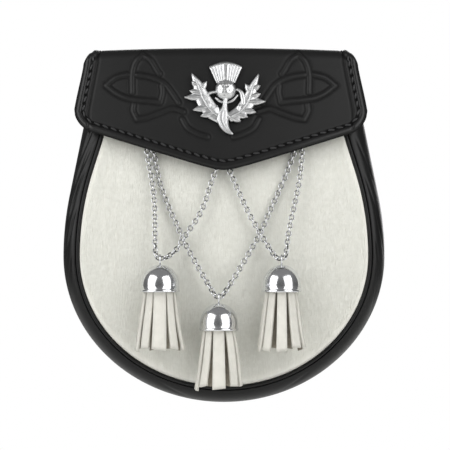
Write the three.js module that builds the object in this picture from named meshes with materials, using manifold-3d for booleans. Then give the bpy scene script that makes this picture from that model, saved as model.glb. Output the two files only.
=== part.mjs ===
// A sporran pouch: a white hide front in a black leather gusset, a black leather flap with a
// thistle badge, and three tassels that hang on fine chains.
// Millimetres, +Z up, the front faces -Y. The origin lies on the back panel's outer face,
// midway between the two belt loops.
import * as THREE from 'three';
import { mergeVertices } from 'three/addons/utils/BufferGeometryUtils.js';
import Module from 'manifold-3d';

const wasm = await Module();
wasm.setup();

// Pouch body
const GAP = 0.35; // clearance between neighbouring pieces
const LEATHER = 2; // wall of the back panel and gusset
const HIDE = 2.5; // front panel, skin and short hair together
const MOUTH_Z = 49; // top edge of the pouch, under the flap
const WIDEST_Z = -60.2; // height at which the pouch is widest
const DEPTH_LOW = 34; // back face to front seam, at the widest place and below
const DEPTH_MOUTH = 24; // back face to front seam, at the mouth
const DOME_RISE = 7; // how far the hide swells in front of its seam
const DOME_MOUTH_SHARE = 0.45; // share of that swelling left at the mouth
const HIDE_COLUMNS = 24;
const HIDE_ROWS = 14;
const WELT_RADIUS = 1;
const BODY_STATIONS = 44; // sections round the U of the body
const SIDE_SHARE = 0.22; // share of those sections on each upright side
const BULGE_ROWS = 7; // facets across the gusset

// Each outline is a half ellipse below the widest place, then an arc, then a straight taper.
const HIDE_OUTLINE = { halfWidth: 82.6, drop: 74.2, shoulderRadius: 165, taper: 0.31 };
const ROLL_OUTLINE = { halfWidth: 92.8, drop: 84.4, shoulderRadius: 176, taper: 0.2 };

// Flap
const FLAP_THICKNESS = 2.4;
const FLAP_TOP_Z = 59.7; // crown of the fold
const FLAP_FOLD_RADIUS = 7.5; // outside radius of the two bends of the fold
const FLAP_BACK_Z = 30; // lower edge of the part sewn to the back
const FLAP_SHIFT = -1.9; // the flap sits a little to the wearer's right
const FLAP_BACK_HALF_WIDTH = 73;
const FLAP_CROWN_HALF_WIDTH = 75;
const FLAP_BROW_HALF_WIDTH = 79.3; // where the front face begins
const FLAP_WIDE_HALF_WIDTH = 84.4;
const FLAP_WIDE_Z = 23.3;
const FLAP_POINT_Z = -13; // where the two lower edges would meet
const FLAP_POINT_SLOPE = 0.316;
const FLAP_POINT_SOFTNESS = 6.6;
const FLAP_CORNER_RADIUS = 10;
const FLAP_STANDOFF_TOP = 1; // space between hide and flap below the fold
const FLAP_STANDOFF_LOW = 6; // and over the staples
const FLAP_STANDOFF_LOW_Z = 2;
const FLAP_COLUMNS = 26;

// The flap's rows of facets, from the back edge over the fold to the point.
const FLAP_ROWS = [
  { part: 'back', rows: 1 },
  { part: 'backBend', rows: 3 },
  { part: 'crown', rows: 1 },
  { part: 'frontBend', rows: 4 },
  { part: 'front', rows: 7 },
];

// Closure under the flap
const STUD_RADIUS = 5;
const STUD_Z = 20;

// Belt loops
const LOOP_X = 45;
const LOOP_WIDTH = 22;
const LOOP_HEIGHT = 54;
const LOOP_TAB = 8; // flat end sewn to the back panel
const LOOP_RAMP = 3;
const LOOP_CLEAR = 6; // room for the strap

// Tassels
const CAP_RADIUS = 11.3;
const CAP_HEIGHT = 15.6;
const CAP_WALL = 1.2;
const CAP_SKIRT = 4; // straight stretch under the dome
const CAP_RIM_HEIGHT = 1.4;
const CAP_RIM_PROUD = 0.5;
const CAP_DOME_STEPS = 5;
const CAP_SEGMENTS = 18;
const CAP_PANEL_CLEARANCE = 0.5;
const EYE_RADIUS = 2.7; // to the middle of the eye's wire
const EYE_WIRE = 0.5; // radius of the eye's wire
const EYE_SINK = 0.3; // how deep the eye is soldered into the cap
const STRIP_COUNT = 9;
const STRIP_WIDTH = 6.2;
const STRIP_THICKNESS = 1.6;
const STRIP_LENGTH = 33.5; // below the cap's rim
const STRIP_TOP_RADIUS = 7.4;
const STRIP_SPREAD_X = 13; // radius that the strips' ends reach sideways
const STRIP_SPREAD_Y = 9.5; // and to front and back
const STRIP_HEAD_RISE = 5; // the bound head inside the cap
const STRIP_UNEVEN = 3; // difference between the longest and the shortest strip
const STRIP_FLARE_POWER = 0.8; // under 1, the strips spread soon below the cap

// Chains
const CHAIN_RADIUS = 1.2;
const STAPLE_WIRE = 0.6; // radius of the staples' wire
const STAPLE_REACH = 3.2;
const STAPLES = [
  { name: 'left', x: -42.5, z: 3.5, halfSpan: 4 },
  { name: 'middle', x: -0.8, z: -6.5, halfSpan: 4.6 },
  { name: 'right', x: 43, z: 3.5, halfSpan: 4 },
];

// Each chain runs down to the tassel's eye and up again to another staple. Its sag is the power
// by which it first keeps close to the hide.
const CHAINS = [
  {
    name: 'left', x: -36.2, z: -61.2, sag: 1,
    down: [[-44.4, 2.4], [-42.6, -9], [-40.8, -19], [-39.7, -29], [-39.3, -39], [-39.1, -48], [-39, -56],
      [-38.6, -59.2], [-37.7, -60.8]],
    up: [[-34.4, -61.2], [-32, -60.3], [-29.2, -58.4], [-26, -55], [-21, -47], [-15.1, -38.5], [-11, -30],
      [-8, -20.5], [-5.2, -12.5], [-3.6, -7.6]],
  },
  {
    name: 'middle', x: -2.9, z: -83, sag: 1.25,
    down: [[-40.6, 2.4], [-38.8, -9], [-35.7, -21], [-31.6, -32], [-26.6, -43], [-21, -55], [-14.6, -66.5],
      [-8.6, -76.5], [-6.2, -80.6], [-4.7, -82.6]],
    up: [[-1.1, -82.6], [0.4, -80.6], [3.2, -76.5], [9.4, -66.5], [15.6, -56], [21, -46.5], [26, -35],
      [31, -24], [35.8, -13], [39.4, -3.5], [41.2, 2.4]],
  },
  {
    name: 'right', x: 32.7, z: -61.2, sag: 1,
    down: [[45, 2.4], [44.2, -8], [42.9, -18], [40.9, -28], [38.8, -37], [36.8, -47], [35.6, -56],
      [35.1, -59.2], [34.2, -60.8]],
    up: [[30.9, -61.2], [28.4, -59.2], [24.6, -53.5], [20.2, -46.5], [14.8, -36.9], [9.4, -25.5], [4.8, -15],
      [2, -7.6]],
  },
];

// Thistle badge, measured from the middle of its bulb, x to the right and z upwards
const BADGE_X = 1;
const BADGE_Z = 34.8;
const BADGE_TOP_Z = 17.6;
const BADGE_LOW_Z = -26.5;
const BULB_RADIUS = 6.1;
const BULB_FLATNESS = 0.75;
const BULB_LIFT = 0.8;
const FLOWER = { baseHalf: 5.4, baseZ: 4.4, topHalf: 9.6, topZ: 14, depth: 2.4 };
const FLOWER_RIBS = { count: 7, width: 1.1, depth: 1.2, spread: 0.85, lift: 0.6 };
const COLLAR = { width: 11.6, height: 1.8, depth: 3.4, lift: 0.6 };
const LEAF_DEPTH = 1.5;
const LEAF_BEVEL = 0.4;
const LEAF_NOTCH = 0.5; // how far a notch cuts from the leaf's edge towards its midrib
const MIDRIB_RADIUS = 0.8;
const STEM_RADIUS = 1.3;
const STEM_SPOTS = [[0, -4], [-0.6, -10], [-0.4, -16], [0.8, -21], [2.8, -25], [4.3, -26.1]];
const SEPAL_RADIUS = 0.9;
const SEPAL_SPOTS = [[3.6, -3.4], [6.4, -1.6], [8, 1.4], [9.6, 2.6]];
const LEAVES = [
  {
    midrib: [[0.4, -17], [-12, -13], [-17, 8.5]],
    tips: [[-14.3, -16], [-18.7, -11.9], [-23.6, -4.5], [-20.7, -0.6], [-19.5, 4.2], [-19.3, 9.5],
      [-13.8, 4.2], [-11.2, -0.8], [-9.4, -7.6]],
  },
  {
    midrib: [[-0.2, -17], [10.5, -14], [16.5, 8]],
    tips: [[8.6, -18.6], [14.6, -15.2], [18.6, -12.6], [22.8, -7], [20.6, -2.3], [19.8, 2.4], [18.6, 9.1],
      [12.2, 3.6], [10.8, -1.6], [9, -7.8]],
  },
];

const lerp = THREE.MathUtils.lerp;
const clamp = THREE.MathUtils.clamp;

// Merges a geometry's shared corners and turns its faces outwards.
function closedBody(geometry) {
  geometry.deleteAttribute('normal');
  geometry.deleteAttribute('uv');
  const body = mergeVertices(geometry, 1e-4);
  const position = body.getAttribute('position');
  const index = body.getIndex();
  const corners = [new THREE.Vector3(), new THREE.Vector3(), new THREE.Vector3()];
  let volume = 0;
  for (let i = 0; i < index.count; i += 3) {
    corners.forEach((corner, k) => corner.fromBufferAttribute(position, index.getX(i + k)));
    volume += corners[0].dot(corners[1].cross(corners[2]));
  }
  if (volume < 0) {
    for (let i = 0; i < index.count; i += 3) {
      const swapped = index.getX(i);
      index.setX(i, index.getX(i + 2));
      index.setX(i + 2, swapped);
    }
  }
  return body;
}

// A flat slab of columns by rows cells that is bent to shape: place(across, along, through) gives
// the position of each corner from its three fractions of the slab.
function bentSlab(columns, rows, place) {
  const slab = new THREE.BoxGeometry(1, 1, 1, columns, rows, 1);
  const position = slab.getAttribute('position');
  for (let i = 0; i < position.count; i += 1) {
    const spot = place(position.getX(i) + 0.5, position.getY(i) + 0.5, position.getZ(i) + 0.5);
    position.setXYZ(i, spot.x, spot.y, spot.z);
  }
  return closedBody(slab);
}

// A curve whose steps fall on its own points, however far apart they are.
class Route extends THREE.CatmullRomCurve3 {
  getPointAt(fraction, target) {
    return this.getPoint(fraction, target);
  }

  getTangentAt(fraction, target) {
    return this.getTangent(fraction, target);
  }
}

function tube(points, radius, sides) {
  const section = [];
  for (let i = 0; i < sides; i += 1) {
    const angle = (2 * Math.PI * i) / sides;
    section.push(new THREE.Vector2(radius * Math.cos(angle), radius * Math.sin(angle)));
  }
  const along = { steps: points.length - 1, extrudePath: new Route(points), bevelEnabled: false };
  return closedBody(new THREE.ExtrudeGeometry(new THREE.Shape(section), along));
}

function solidOf(geometry) {
  const mesh = new wasm.Mesh({
    numProp: 3,
    vertProperties: new Float32Array(geometry.getAttribute('position').array),
    triVerts: new Uint32Array(geometry.getIndex().array),
  });
  return new wasm.Manifold(mesh);
}

function geometryOf(solid) {
  const mesh = solid.getMesh();
  const geometry = new THREE.BufferGeometry();
  geometry.setAttribute('position', new THREE.BufferAttribute(new Float32Array(mesh.vertProperties), 3));
  geometry.setIndex(new THREE.BufferAttribute(new Uint32Array(mesh.triVerts), 1));
  return geometry;
}

function joined(geometries) {
  const solids = geometries.map(solidOf);
  return geometryOf(solids.reduce((whole, solid) => whole.add(solid)));
}

// Outlines and surfaces of the pouch

function grown(outline, margin) {
  return {
    halfWidth: outline.halfWidth + margin,
    drop: outline.drop + margin,
    shoulderRadius: outline.shoulderRadius + margin,
    taper: outline.taper,
  };
}

// Half width of an outline at a height at or above the widest place.
function halfWidthAt(outline, z) {
  const rise = Math.max(z - WIDEST_Z, 0);
  const bend = Math.atan(outline.taper);
  const bendRise = outline.shoulderRadius * Math.sin(bend);
  if (rise <= bendRise) {
    return outline.halfWidth - outline.shoulderRadius + Math.sqrt(outline.shoulderRadius ** 2 - rise ** 2);
  }
  const bendIn = outline.shoulderRadius * (1 - Math.cos(bend));
  return outline.halfWidth - bendIn - outline.taper * (rise - bendRise);
}

// A point of an outline, from its top left end down round the bottom to its top right end.
function outlinePoint(outline, fraction) {
  if (fraction < SIDE_SHARE || fraction > 1 - SIDE_SHARE) {
    const side = fraction < 0.5 ? -1 : 1;
    const z = lerp(MOUTH_Z, WIDEST_Z, Math.min(fraction, 1 - fraction) / SIDE_SHARE);
    return { x: side * halfWidthAt(outline, z), z };
  }
  const angle = (Math.PI * (fraction - SIDE_SHARE)) / (1 - 2 * SIDE_SHARE);
  return {
    x: -outline.halfWidth * Math.cos(angle),
    z: WIDEST_Z - outline.drop * Math.sin(angle),
  };
}

function riseShare(z) {
  return clamp((MOUTH_Z - z) / (MOUTH_Z - WIDEST_Z), 0, 1);
}

function seamDepth(z) {
  return lerp(DEPTH_MOUTH, DEPTH_LOW, THREE.MathUtils.smoothstep(riseShare(z), 0, 1));
}

function hideSwell(x, z) {
  const across = (x / halfWidthAt(HIDE_OUTLINE, Math.min(z, MOUTH_Z))) ** 2;
  if (z < WIDEST_Z) {
    return DOME_RISE * (1 - across - ((z - WIDEST_Z) / HIDE_OUTLINE.drop) ** 2);
  }
  return DOME_RISE * lerp(DOME_MOUTH_SHARE, 1, riseShare(z)) * (1 - across);
}

function hideFront(x, z) {
  return -seamDepth(z) - hideSwell(x, z);
}

// Pouch body

const WELT_OUTLINE = grown(HIDE_OUTLINE, GAP + WELT_RADIUS);
const SEAM_OUTLINE = grown(HIDE_OUTLINE, 2 * (GAP + WELT_RADIUS));

function backPanel() {
  const outline = grown(SEAM_OUTLINE, -GAP);
  const edge = [];
  for (let i = 0; i <= BODY_STATIONS; i += 1) {
    const spot = outlinePoint(outline, i / BODY_STATIONS);
    edge.push(new THREE.Vector2(spot.x, spot.z));
  }
  const plate = new THREE.ExtrudeGeometry(new THREE.Shape(edge), { depth: LEATHER, bevelEnabled: false });
  plate.rotateX(Math.PI / 2);
  return closedBody(plate);
}

// The gusset's section is half an ellipse that bulges from the seams to the roll's outline.
function gusset() {
  return bentSlab(BODY_STATIONS, BULGE_ROWS, (along, turn, through) => {
    const seam = outlinePoint(SEAM_OUTLINE, along);
    const roll = outlinePoint(ROLL_OUTLINE, along);
    const angle = Math.PI * turn;
    const bulge = Math.hypot(roll.x - seam.x, roll.z - seam.z);
    const outward = Math.sin(angle) * (1 - ((1 - through) * LEATHER) / bulge);
    const halfDepth = seamDepth(seam.z) / 2;
    const y = -halfDepth - Math.cos(angle) * (halfDepth - (1 - through) * LEATHER);
    return new THREE.Vector3(lerp(seam.x, roll.x, outward), y, lerp(seam.z, roll.z, outward));
  });
}

function frontPanel() {
  return bentSlab(HIDE_COLUMNS, HIDE_ROWS, (across, along, through) => {
    const side = Math.sin(Math.PI * (across - 0.5));
    const lowest = WIDEST_Z - HIDE_OUTLINE.drop * Math.sqrt(1 - side ** 2);
    const z = lerp(MOUTH_Z, lowest, along);
    const x = side * halfWidthAt(HIDE_OUTLINE, z);
    return new THREE.Vector3(x, hideFront(x, z) + HIDE * (1 - through), z);
  });
}

function frontWelt() {
  const points = [];
  for (let i = 0; i <= BODY_STATIONS; i += 1) {
    const spot = outlinePoint(WELT_OUTLINE, i / BODY_STATIONS);
    points.push(new THREE.Vector3(spot.x, -seamDepth(spot.z), spot.z));
  }
  return tube(points, WELT_RADIUS, 6);
}

// Flap

const BEND_INSIDE = FLAP_FOLD_RADIUS - FLAP_THICKNESS;
const BEND_Z = FLAP_TOP_Z - FLAP_FOLD_RADIUS;

function flapInside(x, z) {
  const share = clamp((BEND_Z - z) / (BEND_Z - FLAP_STANDOFF_LOW_Z), 0, 1);
  return hideFront(x, Math.min(z, MOUTH_Z)) - lerp(FLAP_STANDOFF_TOP, FLAP_STANDOFF_LOW, share);
}

// The front's lower edge: two straight runs to a soft point, with round outer corners.
function flapLowest(side) {
  const x = FLAP_SHIFT + side * FLAP_WIDE_HALF_WIDTH;
  const straight = FLAP_POINT_Z + FLAP_POINT_SLOPE * Math.hypot(x, FLAP_POINT_SOFTNESS);
  const cornerShare = FLAP_CORNER_RADIUS / FLAP_WIDE_HALF_WIDTH;
  const intoCorner = Math.max(0, (Math.abs(side) - 1 + cornerShare) / cornerShare);
  return straight + FLAP_CORNER_RADIUS * (1 - Math.sqrt(Math.max(0, 1 - intoCorner ** 2)));
}

function flapFrontHalfWidth(z) {
  const share = (BEND_Z - z) / (BEND_Z - FLAP_WIDE_Z);
  return lerp(FLAP_BROW_HALF_WIDTH, FLAP_WIDE_HALF_WIDTH, Math.min(share, 1));
}

function flapSpot(side, part, share, skin) {
  const radius = BEND_INSIDE + skin;
  const backBendY = GAP - BEND_INSIDE;
  const crownX = FLAP_SHIFT + side * FLAP_CROWN_HALF_WIDTH;
  const browX = FLAP_SHIFT + side * FLAP_BROW_HALF_WIDTH;
  const frontBendY = flapInside(browX, BEND_Z) + BEND_INSIDE;
  const turn = (share * Math.PI) / 2;
  switch (part) {
    case 'back': {
      const x = FLAP_SHIFT + side * lerp(FLAP_BACK_HALF_WIDTH, FLAP_CROWN_HALF_WIDTH, share);
      return new THREE.Vector3(x, GAP + skin, lerp(FLAP_BACK_Z, BEND_Z, share));
    }
    case 'backBend':
      return new THREE.Vector3(crownX, backBendY + radius * Math.cos(turn), BEND_Z + radius * Math.sin(turn));
    case 'crown':
      return new THREE.Vector3(crownX, lerp(backBendY, frontBendY, share), BEND_Z + radius);
    case 'frontBend': {
      const x = lerp(crownX, browX, Math.sin(turn));
      return new THREE.Vector3(x, frontBendY - radius * Math.sin(turn), BEND_Z + radius * Math.cos(turn));
    }
    default: {
      const z = lerp(BEND_Z, flapLowest(side), share);
      const x = FLAP_SHIFT + side * flapFrontHalfWidth(z);
      return new THREE.Vector3(x, flapInside(x, z) - skin, z);
    }
  }
}

function flap() {
  const rowCount = FLAP_ROWS.reduce((sum, stretch) => sum + stretch.rows, 0);
  return bentSlab(FLAP_COLUMNS, rowCount, (across, along, through) => {
    const side = Math.sin(Math.PI * (across - 0.5));
    let row = Math.round(along * rowCount);
    let stretch = FLAP_ROWS[0];
    for (const candidate of FLAP_ROWS) {
      stretch = candidate;
      if (row <= candidate.rows) {
        break;
      }
      row -= candidate.rows;
    }
    return flapSpot(side, stretch.part, row / stretch.rows, FLAP_THICKNESS * through);
  });
}

function flapStud() {
  const front = flapInside(0, STUD_Z + STUD_RADIUS) + GAP;
  const back = hideFront(0, STUD_Z - STUD_RADIUS) - GAP;
  const stud = new THREE.CylinderGeometry(STUD_RADIUS, STUD_RADIUS, back - front, 16);
  stud.translate(0, (front + back) / 2, STUD_Z);
  return closedBody(stud);
}

// Belt loops

function beltLoop() {
  const low = GAP;
  const high = GAP + LOOP_CLEAR;
  const end = LOOP_HEIGHT / 2;
  const rampStart = end - LOOP_TAB;
  const rampEnd = rampStart - LOOP_RAMP;
  const upper = [[low, end], [low, rampStart], [high, rampEnd]];
  const upperOutside = [[high, rampEnd], [low, rampStart + LEATHER], [low, end]];
  const mirrored = (spots) => spots.map(([y, z]) => [y, -z]).reverse();
  const inside = [...upper, ...mirrored(upper)];
  const outside = [...mirrored(upperOutside), ...upperOutside].map(([y, z]) => [y + LEATHER, z]);
  const profile = inside.concat(outside).map(([y, z]) => new THREE.Vector2(z, y));
  const strip = new THREE.Shape(profile);
  const loop = new THREE.ExtrudeGeometry(strip, { depth: LOOP_WIDTH, bevelEnabled: false });
  loop.translate(0, 0, -LOOP_WIDTH / 2);
  loop.rotateY(-Math.PI / 2);
  return closedBody(loop);
}

// Chains and their staples

function staple({ x, z, halfSpan }) {
  const points = [];
  const steps = 8;
  for (let i = 0; i <= steps; i += 1) {
    const angle = (Math.PI * i) / steps;
    const spotX = x + halfSpan * Math.cos(angle);
    const foot = hideFront(spotX, z) - GAP;
    points.push(new THREE.Vector3(spotX, foot - STAPLE_REACH * Math.sin(angle), z));
  }
  return tube(points, STAPLE_WIRE, 6);
}

function capAxisY({ x, z }) {
  return hideFront(x, z) - CAP_RADIUS - CAP_PANEL_CLEARANCE;
}

// A strand leaves its staple close to the hide and reaches the tassel's eye in front of it.
function strand(spots, chain) {
  const [topX, topZ] = spots[0];
  const topY = hideFront(topX, topZ) - GAP - STAPLE_REACH;
  return spots.map(([x, z]) => {
    const share = clamp((topZ - z) / (topZ - chain.z), 0, 1) ** chain.sag;
    return new THREE.Vector3(x, lerp(topY, capAxisY(chain), share), z);
  });
}

function chainTube(chain) {
  const down = strand(chain.down, chain);
  const up = strand([...chain.up].reverse(), chain).reverse();
  const bottom = new THREE.Vector3(chain.x, capAxisY(chain), chain.z);
  return tube([...down, bottom, ...up], CHAIN_RADIUS, 8);
}

// Tassels, measured from the chain that passes through the eye

const EYE_DROP = EYE_RADIUS - EYE_WIRE - CHAIN_RADIUS - GAP; // the eye hangs on the chain
const CAP_TOP = -EYE_DROP - EYE_RADIUS - EYE_WIRE + EYE_SINK;
const CAP_RIM = CAP_TOP - CAP_HEIGHT;

function capProfile(radius, top, low) {
  const points = [];
  for (let i = 0; i <= CAP_DOME_STEPS; i += 1) {
    const angle = (Math.PI / 2) * (1 - i / CAP_DOME_STEPS);
    points.push(new THREE.Vector2(radius * Math.cos(angle), low + (top - low) * Math.sin(angle)));
  }
  return points;
}

function tasselCap() {
  const domeLow = CAP_RIM + CAP_SKIRT;
  const domeRadius = CAP_RADIUS - CAP_RIM_PROUD;
  const outside = capProfile(domeRadius, CAP_TOP, domeLow);
  const inside = capProfile(domeRadius - CAP_WALL, CAP_TOP - CAP_WALL, domeLow).reverse();
  const rim = [
    new THREE.Vector2(domeRadius, CAP_RIM + CAP_RIM_HEIGHT),
    new THREE.Vector2(CAP_RADIUS, CAP_RIM + CAP_RIM_HEIGHT - CAP_RIM_PROUD),
    new THREE.Vector2(CAP_RADIUS, CAP_RIM),
    new THREE.Vector2(domeRadius - CAP_WALL, CAP_RIM),
  ];
  outside[0].x = 0;
  inside[inside.length - 1].x = 0;
  const dome = new THREE.LatheGeometry([...outside, ...rim, ...inside], CAP_SEGMENTS);
  dome.rotateX(Math.PI / 2);
  const eye = new THREE.TorusGeometry(EYE_RADIUS, EYE_WIRE, 6, 12);
  eye.rotateY(Math.PI / 2);
  eye.translate(0, 0, -EYE_DROP);
  return joined([closedBody(dome), closedBody(eye)]);
}

function tasselStrips() {
  const headRadius = CAP_RADIUS - CAP_RIM_PROUD - CAP_WALL - GAP;
  const head = new THREE.CylinderGeometry(headRadius, headRadius, STRIP_HEAD_RISE, CAP_SEGMENTS);
  head.rotateX(Math.PI / 2);
  head.translate(0, 0, CAP_RIM + STRIP_HEAD_RISE / 2 + GAP);
  const pieces = [closedBody(head)];
  for (let i = 0; i < STRIP_COUNT; i += 1) {
    const angle = (2 * Math.PI * (i + 0.25)) / STRIP_COUNT;
    const out = new THREE.Vector2(Math.cos(angle), Math.sin(angle));
    const length = STRIP_LENGTH - (STRIP_UNEVEN / 2) * (1 - Math.cos(3 * i));
    pieces.push(bentSlab(1, 3, (across, along, through) => {
      const flare = along ** STRIP_FLARE_POWER;
      const reachX = lerp(STRIP_TOP_RADIUS, STRIP_SPREAD_X, flare) + (through - 0.5) * STRIP_THICKNESS;
      const reachY = lerp(STRIP_TOP_RADIUS, STRIP_SPREAD_Y, flare) + (through - 0.5) * STRIP_THICKNESS;
      const sideways = (across - 0.5) * STRIP_WIDTH;
      const z = lerp(CAP_RIM + STRIP_HEAD_RISE / 2, CAP_RIM - length, along);
      return new THREE.Vector3(out.x * reachX - out.y * sideways, out.y * reachY + out.x * sideways, z);
    }));
  }
  return joined(pieces);
}

// Thistle badge, drawn upright with its back at depth 0 and its face towards +Z, then stood up

// A leaf's outline: its tips in order, with a notch cut towards the midrib between each two.
function leaf({ midrib, tips }) {
  const corners = midrib.map(([x, y]) => new THREE.Vector2(x, y));
  const rib = new THREE.QuadraticBezierCurve(...corners);
  const ribSpots = rib.getPoints(24);
  const edge = [corners[0].clone()];
  tips.forEach(([x, y], i) => {
    const tip = new THREE.Vector2(x, y);
    if (i > 0) {
      const notch = tip.clone().add(new THREE.Vector2(...tips[i - 1])).multiplyScalar(0.5);
      const distances = ribSpots.map((spot) => spot.distanceTo(notch));
      const nearest = ribSpots[distances.indexOf(Math.min(...distances))];
      edge.push(notch.lerp(nearest, LEAF_NOTCH));
    }
    edge.push(tip);
  });
  const blade = new THREE.ExtrudeGeometry(new THREE.Shape(edge), {
    depth: LEAF_DEPTH,
    bevelThickness: LEAF_BEVEL,
    bevelSize: LEAF_BEVEL,
    bevelOffset: -LEAF_BEVEL,
    bevelSegments: 1,
  });
  blade.translate(0, 0, LEAF_BEVEL);
  const ribHeight = LEAF_DEPTH + LEAF_BEVEL;
  const ribPoints = rib.getPoints(8).map((spot) => new THREE.Vector3(spot.x, spot.y, ribHeight));
  return [closedBody(blade), tube(ribPoints, MIDRIB_RADIUS, 6)];
}

function flower() {
  const { baseHalf, baseZ, topHalf, topZ, depth } = FLOWER;
  const fan = new THREE.Shape();
  fan.moveTo(-baseHalf, baseZ);
  fan.lineTo(-topHalf, topZ);
  fan.quadraticCurveTo(0, 2 * BADGE_TOP_Z - topZ, topHalf, topZ);
  fan.lineTo(baseHalf, baseZ);
  const pieces = [new THREE.ExtrudeGeometry(fan, { depth, bevelEnabled: false, curveSegments: 10 })];
  for (let i = 0; i < FLOWER_RIBS.count; i += 1) {
    const side = FLOWER_RIBS.spread * ((2 * i) / (FLOWER_RIBS.count - 1) - 1);
    const rise = topZ - baseZ;
    const rib = new THREE.BoxGeometry(FLOWER_RIBS.width, rise, FLOWER_RIBS.depth);
    rib.rotateZ(-Math.atan2(side * (topHalf - baseHalf), rise));
    rib.translate((side * (baseHalf + topHalf)) / 2, (baseZ + topZ) / 2 + FLOWER_RIBS.lift, depth);
    pieces.push(rib);
  }
  return pieces.map(closedBody);
}

function halfBulb() {
  const bulb = new THREE.SphereGeometry(BULB_RADIUS, 16, 10);
  bulb.scale(1, 1, BULB_FLATNESS);
  bulb.translate(0, 0, BULB_LIFT);
  const front = new THREE.BoxGeometry(3 * BULB_RADIUS, 3 * BULB_RADIUS, 3 * BULB_RADIUS);
  front.translate(0, 0, 1.5 * BULB_RADIUS);
  return geometryOf(solidOf(closedBody(bulb)).intersect(solidOf(closedBody(front))));
}

function thistleBadge() {
  const collar = new THREE.BoxGeometry(COLLAR.width, COLLAR.height, COLLAR.depth);
  collar.translate(0, FLOWER.baseZ + COLLAR.lift, COLLAR.depth / 2);
  const stem = tube(STEM_SPOTS.map(([x, y]) => new THREE.Vector3(x, y, STEM_RADIUS)), STEM_RADIUS, 8);
  const sepals = [-1, 1].map((side) => {
    const spots = SEPAL_SPOTS.map(([x, y]) => new THREE.Vector3(side * x, y, SEPAL_RADIUS));
    return tube(spots, SEPAL_RADIUS, 6);
  });
  const leaves = LEAVES.flatMap(leaf);
  const badge = joined([halfBulb(), closedBody(collar), stem, ...sepals, ...flower(), ...leaves]);
  badge.rotateX(Math.PI / 2);
  return badge;
}

// The assembly

const LEATHER_FINISH = { color: 0x232323, roughness: 0.5, metalness: 0 };
const HIDE_FINISH = { color: 0xe2e2da, roughness: 0.9, metalness: 0 };
const STRIP_FINISH = { color: 0xe6e1d5, roughness: 0.85, metalness: 0 };
const METAL_FINISH = { color: 0xd8d9db, roughness: 0.15, metalness: 1 };

const sporran = new THREE.Group();

function addPiece(parent, name, geometry, finish) {
  const piece = new THREE.Mesh(geometry, new THREE.MeshStandardMaterial(finish));
  piece.name = name;
  parent.add(piece);
  return piece;
}

addPiece(sporran, 'back_panel', backPanel(), LEATHER_FINISH);
addPiece(sporran, 'gusset', gusset(), LEATHER_FINISH);
addPiece(sporran, 'front_panel', frontPanel(), HIDE_FINISH);
addPiece(sporran, 'front_welt', frontWelt(), LEATHER_FINISH);
addPiece(sporran, 'flap', flap(), LEATHER_FINISH);
addPiece(sporran, 'flap_stud', flapStud(), METAL_FINISH);

// The badge leans with the flap and lies on its face.
const badgeTop = { z: BADGE_Z + BADGE_TOP_Z, y: flapInside(BADGE_X, BADGE_Z + BADGE_TOP_Z) };
const badgeLow = { z: BADGE_Z + BADGE_LOW_Z, y: flapInside(BADGE_X, BADGE_Z + BADGE_LOW_Z) };
const badgeLean = Math.atan2(badgeTop.y - badgeLow.y, badgeTop.z - badgeLow.z);
const badgeShare = (BADGE_Z - badgeLow.z) / (badgeTop.z - badgeLow.z);
const badgeSeat = lerp(badgeLow.y, badgeTop.y, badgeShare) - FLAP_THICKNESS - GAP;
const badge = addPiece(sporran, 'thistle_badge', thistleBadge(), METAL_FINISH);
badge.position.set(BADGE_X, badgeSeat, BADGE_Z);
badge.rotation.x = -badgeLean;

for (const [name, side] of [['belt_loop_left', -1], ['belt_loop_right', 1]]) {
  addPiece(sporran, name, beltLoop(), LEATHER_FINISH).position.x = side * LOOP_X;
}

for (const row of STAPLES) {
  addPiece(sporran, `chain_staple_${row.name}`, staple(row), METAL_FINISH);
}

for (const chain of CHAINS) {
  addPiece(sporran, `chain_${chain.name}`, chainTube(chain), METAL_FINISH);
  const tassel = new THREE.Group();
  tassel.position.set(chain.x, capAxisY(chain), chain.z);
  addPiece(tassel, `tassel_${chain.name}_cap`, tasselCap(), METAL_FINISH);
  addPiece(tassel, `tassel_${chain.name}_strips`, tasselStrips(), STRIP_FINISH);
  sporran.add(tassel);
}

export default sporran;
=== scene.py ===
# A sporran pouch: white hide front, black leather gusset and tooled flap, thistle badge, and three
# tassels on fine chains. Metres, +Z up, the front faces -Y.
import math
import random

import bmesh
import bpy
import numpy as np
from mathutils import Matrix, Vector
from mathutils.kdtree import KDTree


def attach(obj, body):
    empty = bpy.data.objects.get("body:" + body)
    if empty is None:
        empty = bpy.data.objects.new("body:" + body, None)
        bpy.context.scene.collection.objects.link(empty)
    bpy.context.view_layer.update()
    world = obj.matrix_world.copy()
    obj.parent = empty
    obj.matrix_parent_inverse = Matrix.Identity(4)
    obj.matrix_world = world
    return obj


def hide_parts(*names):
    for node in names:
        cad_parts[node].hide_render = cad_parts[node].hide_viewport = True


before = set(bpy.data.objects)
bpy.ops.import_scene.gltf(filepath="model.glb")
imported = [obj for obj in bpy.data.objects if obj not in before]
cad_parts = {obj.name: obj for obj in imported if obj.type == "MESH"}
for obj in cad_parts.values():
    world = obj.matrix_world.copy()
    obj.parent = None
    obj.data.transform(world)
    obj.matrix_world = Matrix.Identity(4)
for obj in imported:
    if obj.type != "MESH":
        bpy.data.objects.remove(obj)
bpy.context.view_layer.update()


# The studio: a pale floor well below the hanging pouch, two tall soft boxes left and right of the
# camera, one soft light overhead and one behind, and a long lens that looks straight at the front.
MM = 0.001
scene = bpy.context.scene
scene.view_settings.view_transform = "Standard"

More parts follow.
